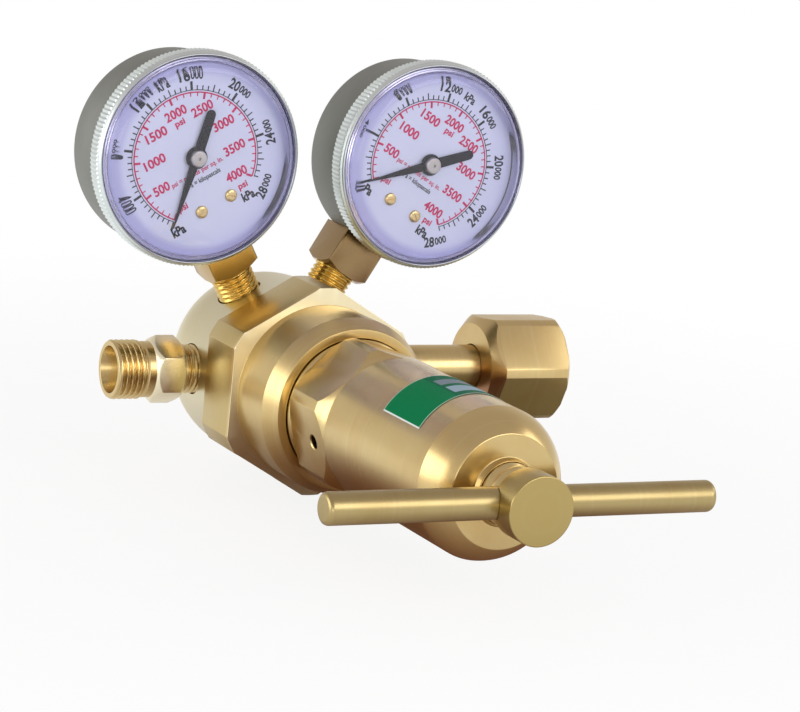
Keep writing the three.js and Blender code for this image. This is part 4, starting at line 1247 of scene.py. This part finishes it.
# %% Springs
for name, joint, push, share in (
    ("main_spring", "handle_turn", 3.334, 300 / 720),
    ("valve_spring", "valve_travel", 0.8, 1),
):
    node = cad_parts[name]
    select(node)
    bpy.ops.object.duplicate()
    coil = bpy.context.object
    coil.name = f"{name}_coil"
    deselect()
    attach(coil, "regulator")
    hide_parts(name)
    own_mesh(coil)

# %% [markdown]
# ## Studio
#
# A white sheet lies under the object. The camera sees it as white. Polished metal sees it white
# further off, and close by it sees painted shade: there the sheet is painted dark brown for glossy
# rays, greyer beside the nut. The object's real shadow stays on it.

# %% Floor
PAPER = (0.93, 0.93, 0.93)
FLOOR_GAP = 0.0004  # below the lowest point, in metres
deselect()
bpy.ops.mesh.primitive_plane_add(
    size=8, location=(PORTS * MM, 0, plain_box[0][2] - FLOOR_GAP)
)
floor = bpy.context.object
floor.name = "studio_floor"
paper = Finish("white_paper", PAPER, 0.95)
fx, fy, _ = paper.split(paper.place())
away = paper.maths("SQRT", fx * fx + fy * fy)
far = paper.smooth(away, 0.12, 0.45)
seen = paper.add("ShaderNodeLightPath", {}, {}, "Is Camera Ray")
mirrored = paper.add("ShaderNodeLightPath", {}, {}, "Is Glossy Ray")
through = paper.add("ShaderNodeLightPath", {}, {}, "Is Transmission Ray")


def shaded(x, y, inner, outer):
    """0 close to a point of the floor and 1 far from it."""
    along_x, along_y = fx - x, fy - y
    distance = paper.maths("SQRT", along_x * along_x + along_y * along_y)
    return paper.smooth(distance, inner, outer)


# Painted shade: close to the object the floor is painted dark brown for glossy rays, greyer beside
# the nut, and gives them no white glow, so the undersides of the metal look shaded.
painted_shade_nut_fade = shaded(0.09, -0.03, 0.03, 0.09)
near = shaded(0.02, -0.09, 0.04, 0.19) * painted_shade_nut_fade
dark = paper.blend(painted_shade_nut_fade, (0.27, 0.25, 0.19), (0.28, 0.14, 0.085))
looked_at = paper.maths("MINIMUM", seen * (0.86 + 0.14 * far) + (mirrored + through) * near, 1.0)
# Only glossy rays see the painted shade.
paper.set("Base Color", paper.blend(mirrored * (1 - near), PAPER, dark))
glow = paper.add("ShaderNodeEmission", {}, {"Color": (1, 1, 1, 1), "Strength": 1.0})
paper.overlay(looked_at, glow)
floor.data.materials.append(paper.material)

# %% [markdown]
# A long softbox at the left draws the bright edge along the housing, and a high one in front
# lights the gauges. Two weak ones fill. The world is a plain pale room, darker overhead.

# %% Lamps and world
MIDDLE = Vector((PORTS * MM, -0.05, 0.03))  # where the lamps point


def lamp(name, location, width, height, power):
    deselect()
    bpy.ops.object.light_add(type="AREA", location=location)
    light = bpy.context.object
    light.name = name
    light.data.shape = "RECTANGLE"
    light.data.size = width
    light.data.size_y = height
    light.data.energy = power
    aim = MIDDLE - Vector(location)
    light.rotation_euler = aim.to_track_quat("-Z", "Y").to_euler()


lamp("left_softbox", (-1.55, 0.15, 0.30), 1.8, 0.75, 9.5)
lamp("front_softbox", (0.45, -1.5, 0.72), 1.2, 0.8, 8)
lamp("low_softbox", (-0.8, -1.5, 0.14), 0.7, 0.4, 2)
lamp("right_softbox", (1.3, -0.5, 0.8), 0.7, 0.7, 3)

world = bpy.data.worlds.new("studio")
bpy.context.scene.world = world
world.use_nodes = True
nodes, links = world.node_tree.nodes, world.node_tree.links
sky = nodes["Background"]
where = nodes.new("ShaderNodeTexCoord")
parts = nodes.new("ShaderNodeSeparateXYZ")
ramp = nodes.new("ShaderNodeValToRGB")
links.new(where.outputs["Generated"], parts.inputs[0])
links.new(parts.outputs["Z"], ramp.inputs[0])
links.new(ramp.outputs[0], sky.inputs["Color"])
level_stop, overhead_stop = ramp.color_ramp.elements
level_stop.position, level_stop.color = 0.0, (0.84, 0.83, 0.80, 1)
overhead_stop.position, overhead_stop.color = 0.8, (0.55, 0.50, 0.50, 1)
sky.inputs["Strength"].default_value = 1.0
bpy.context.scene.view_settings.view_transform = "Standard"
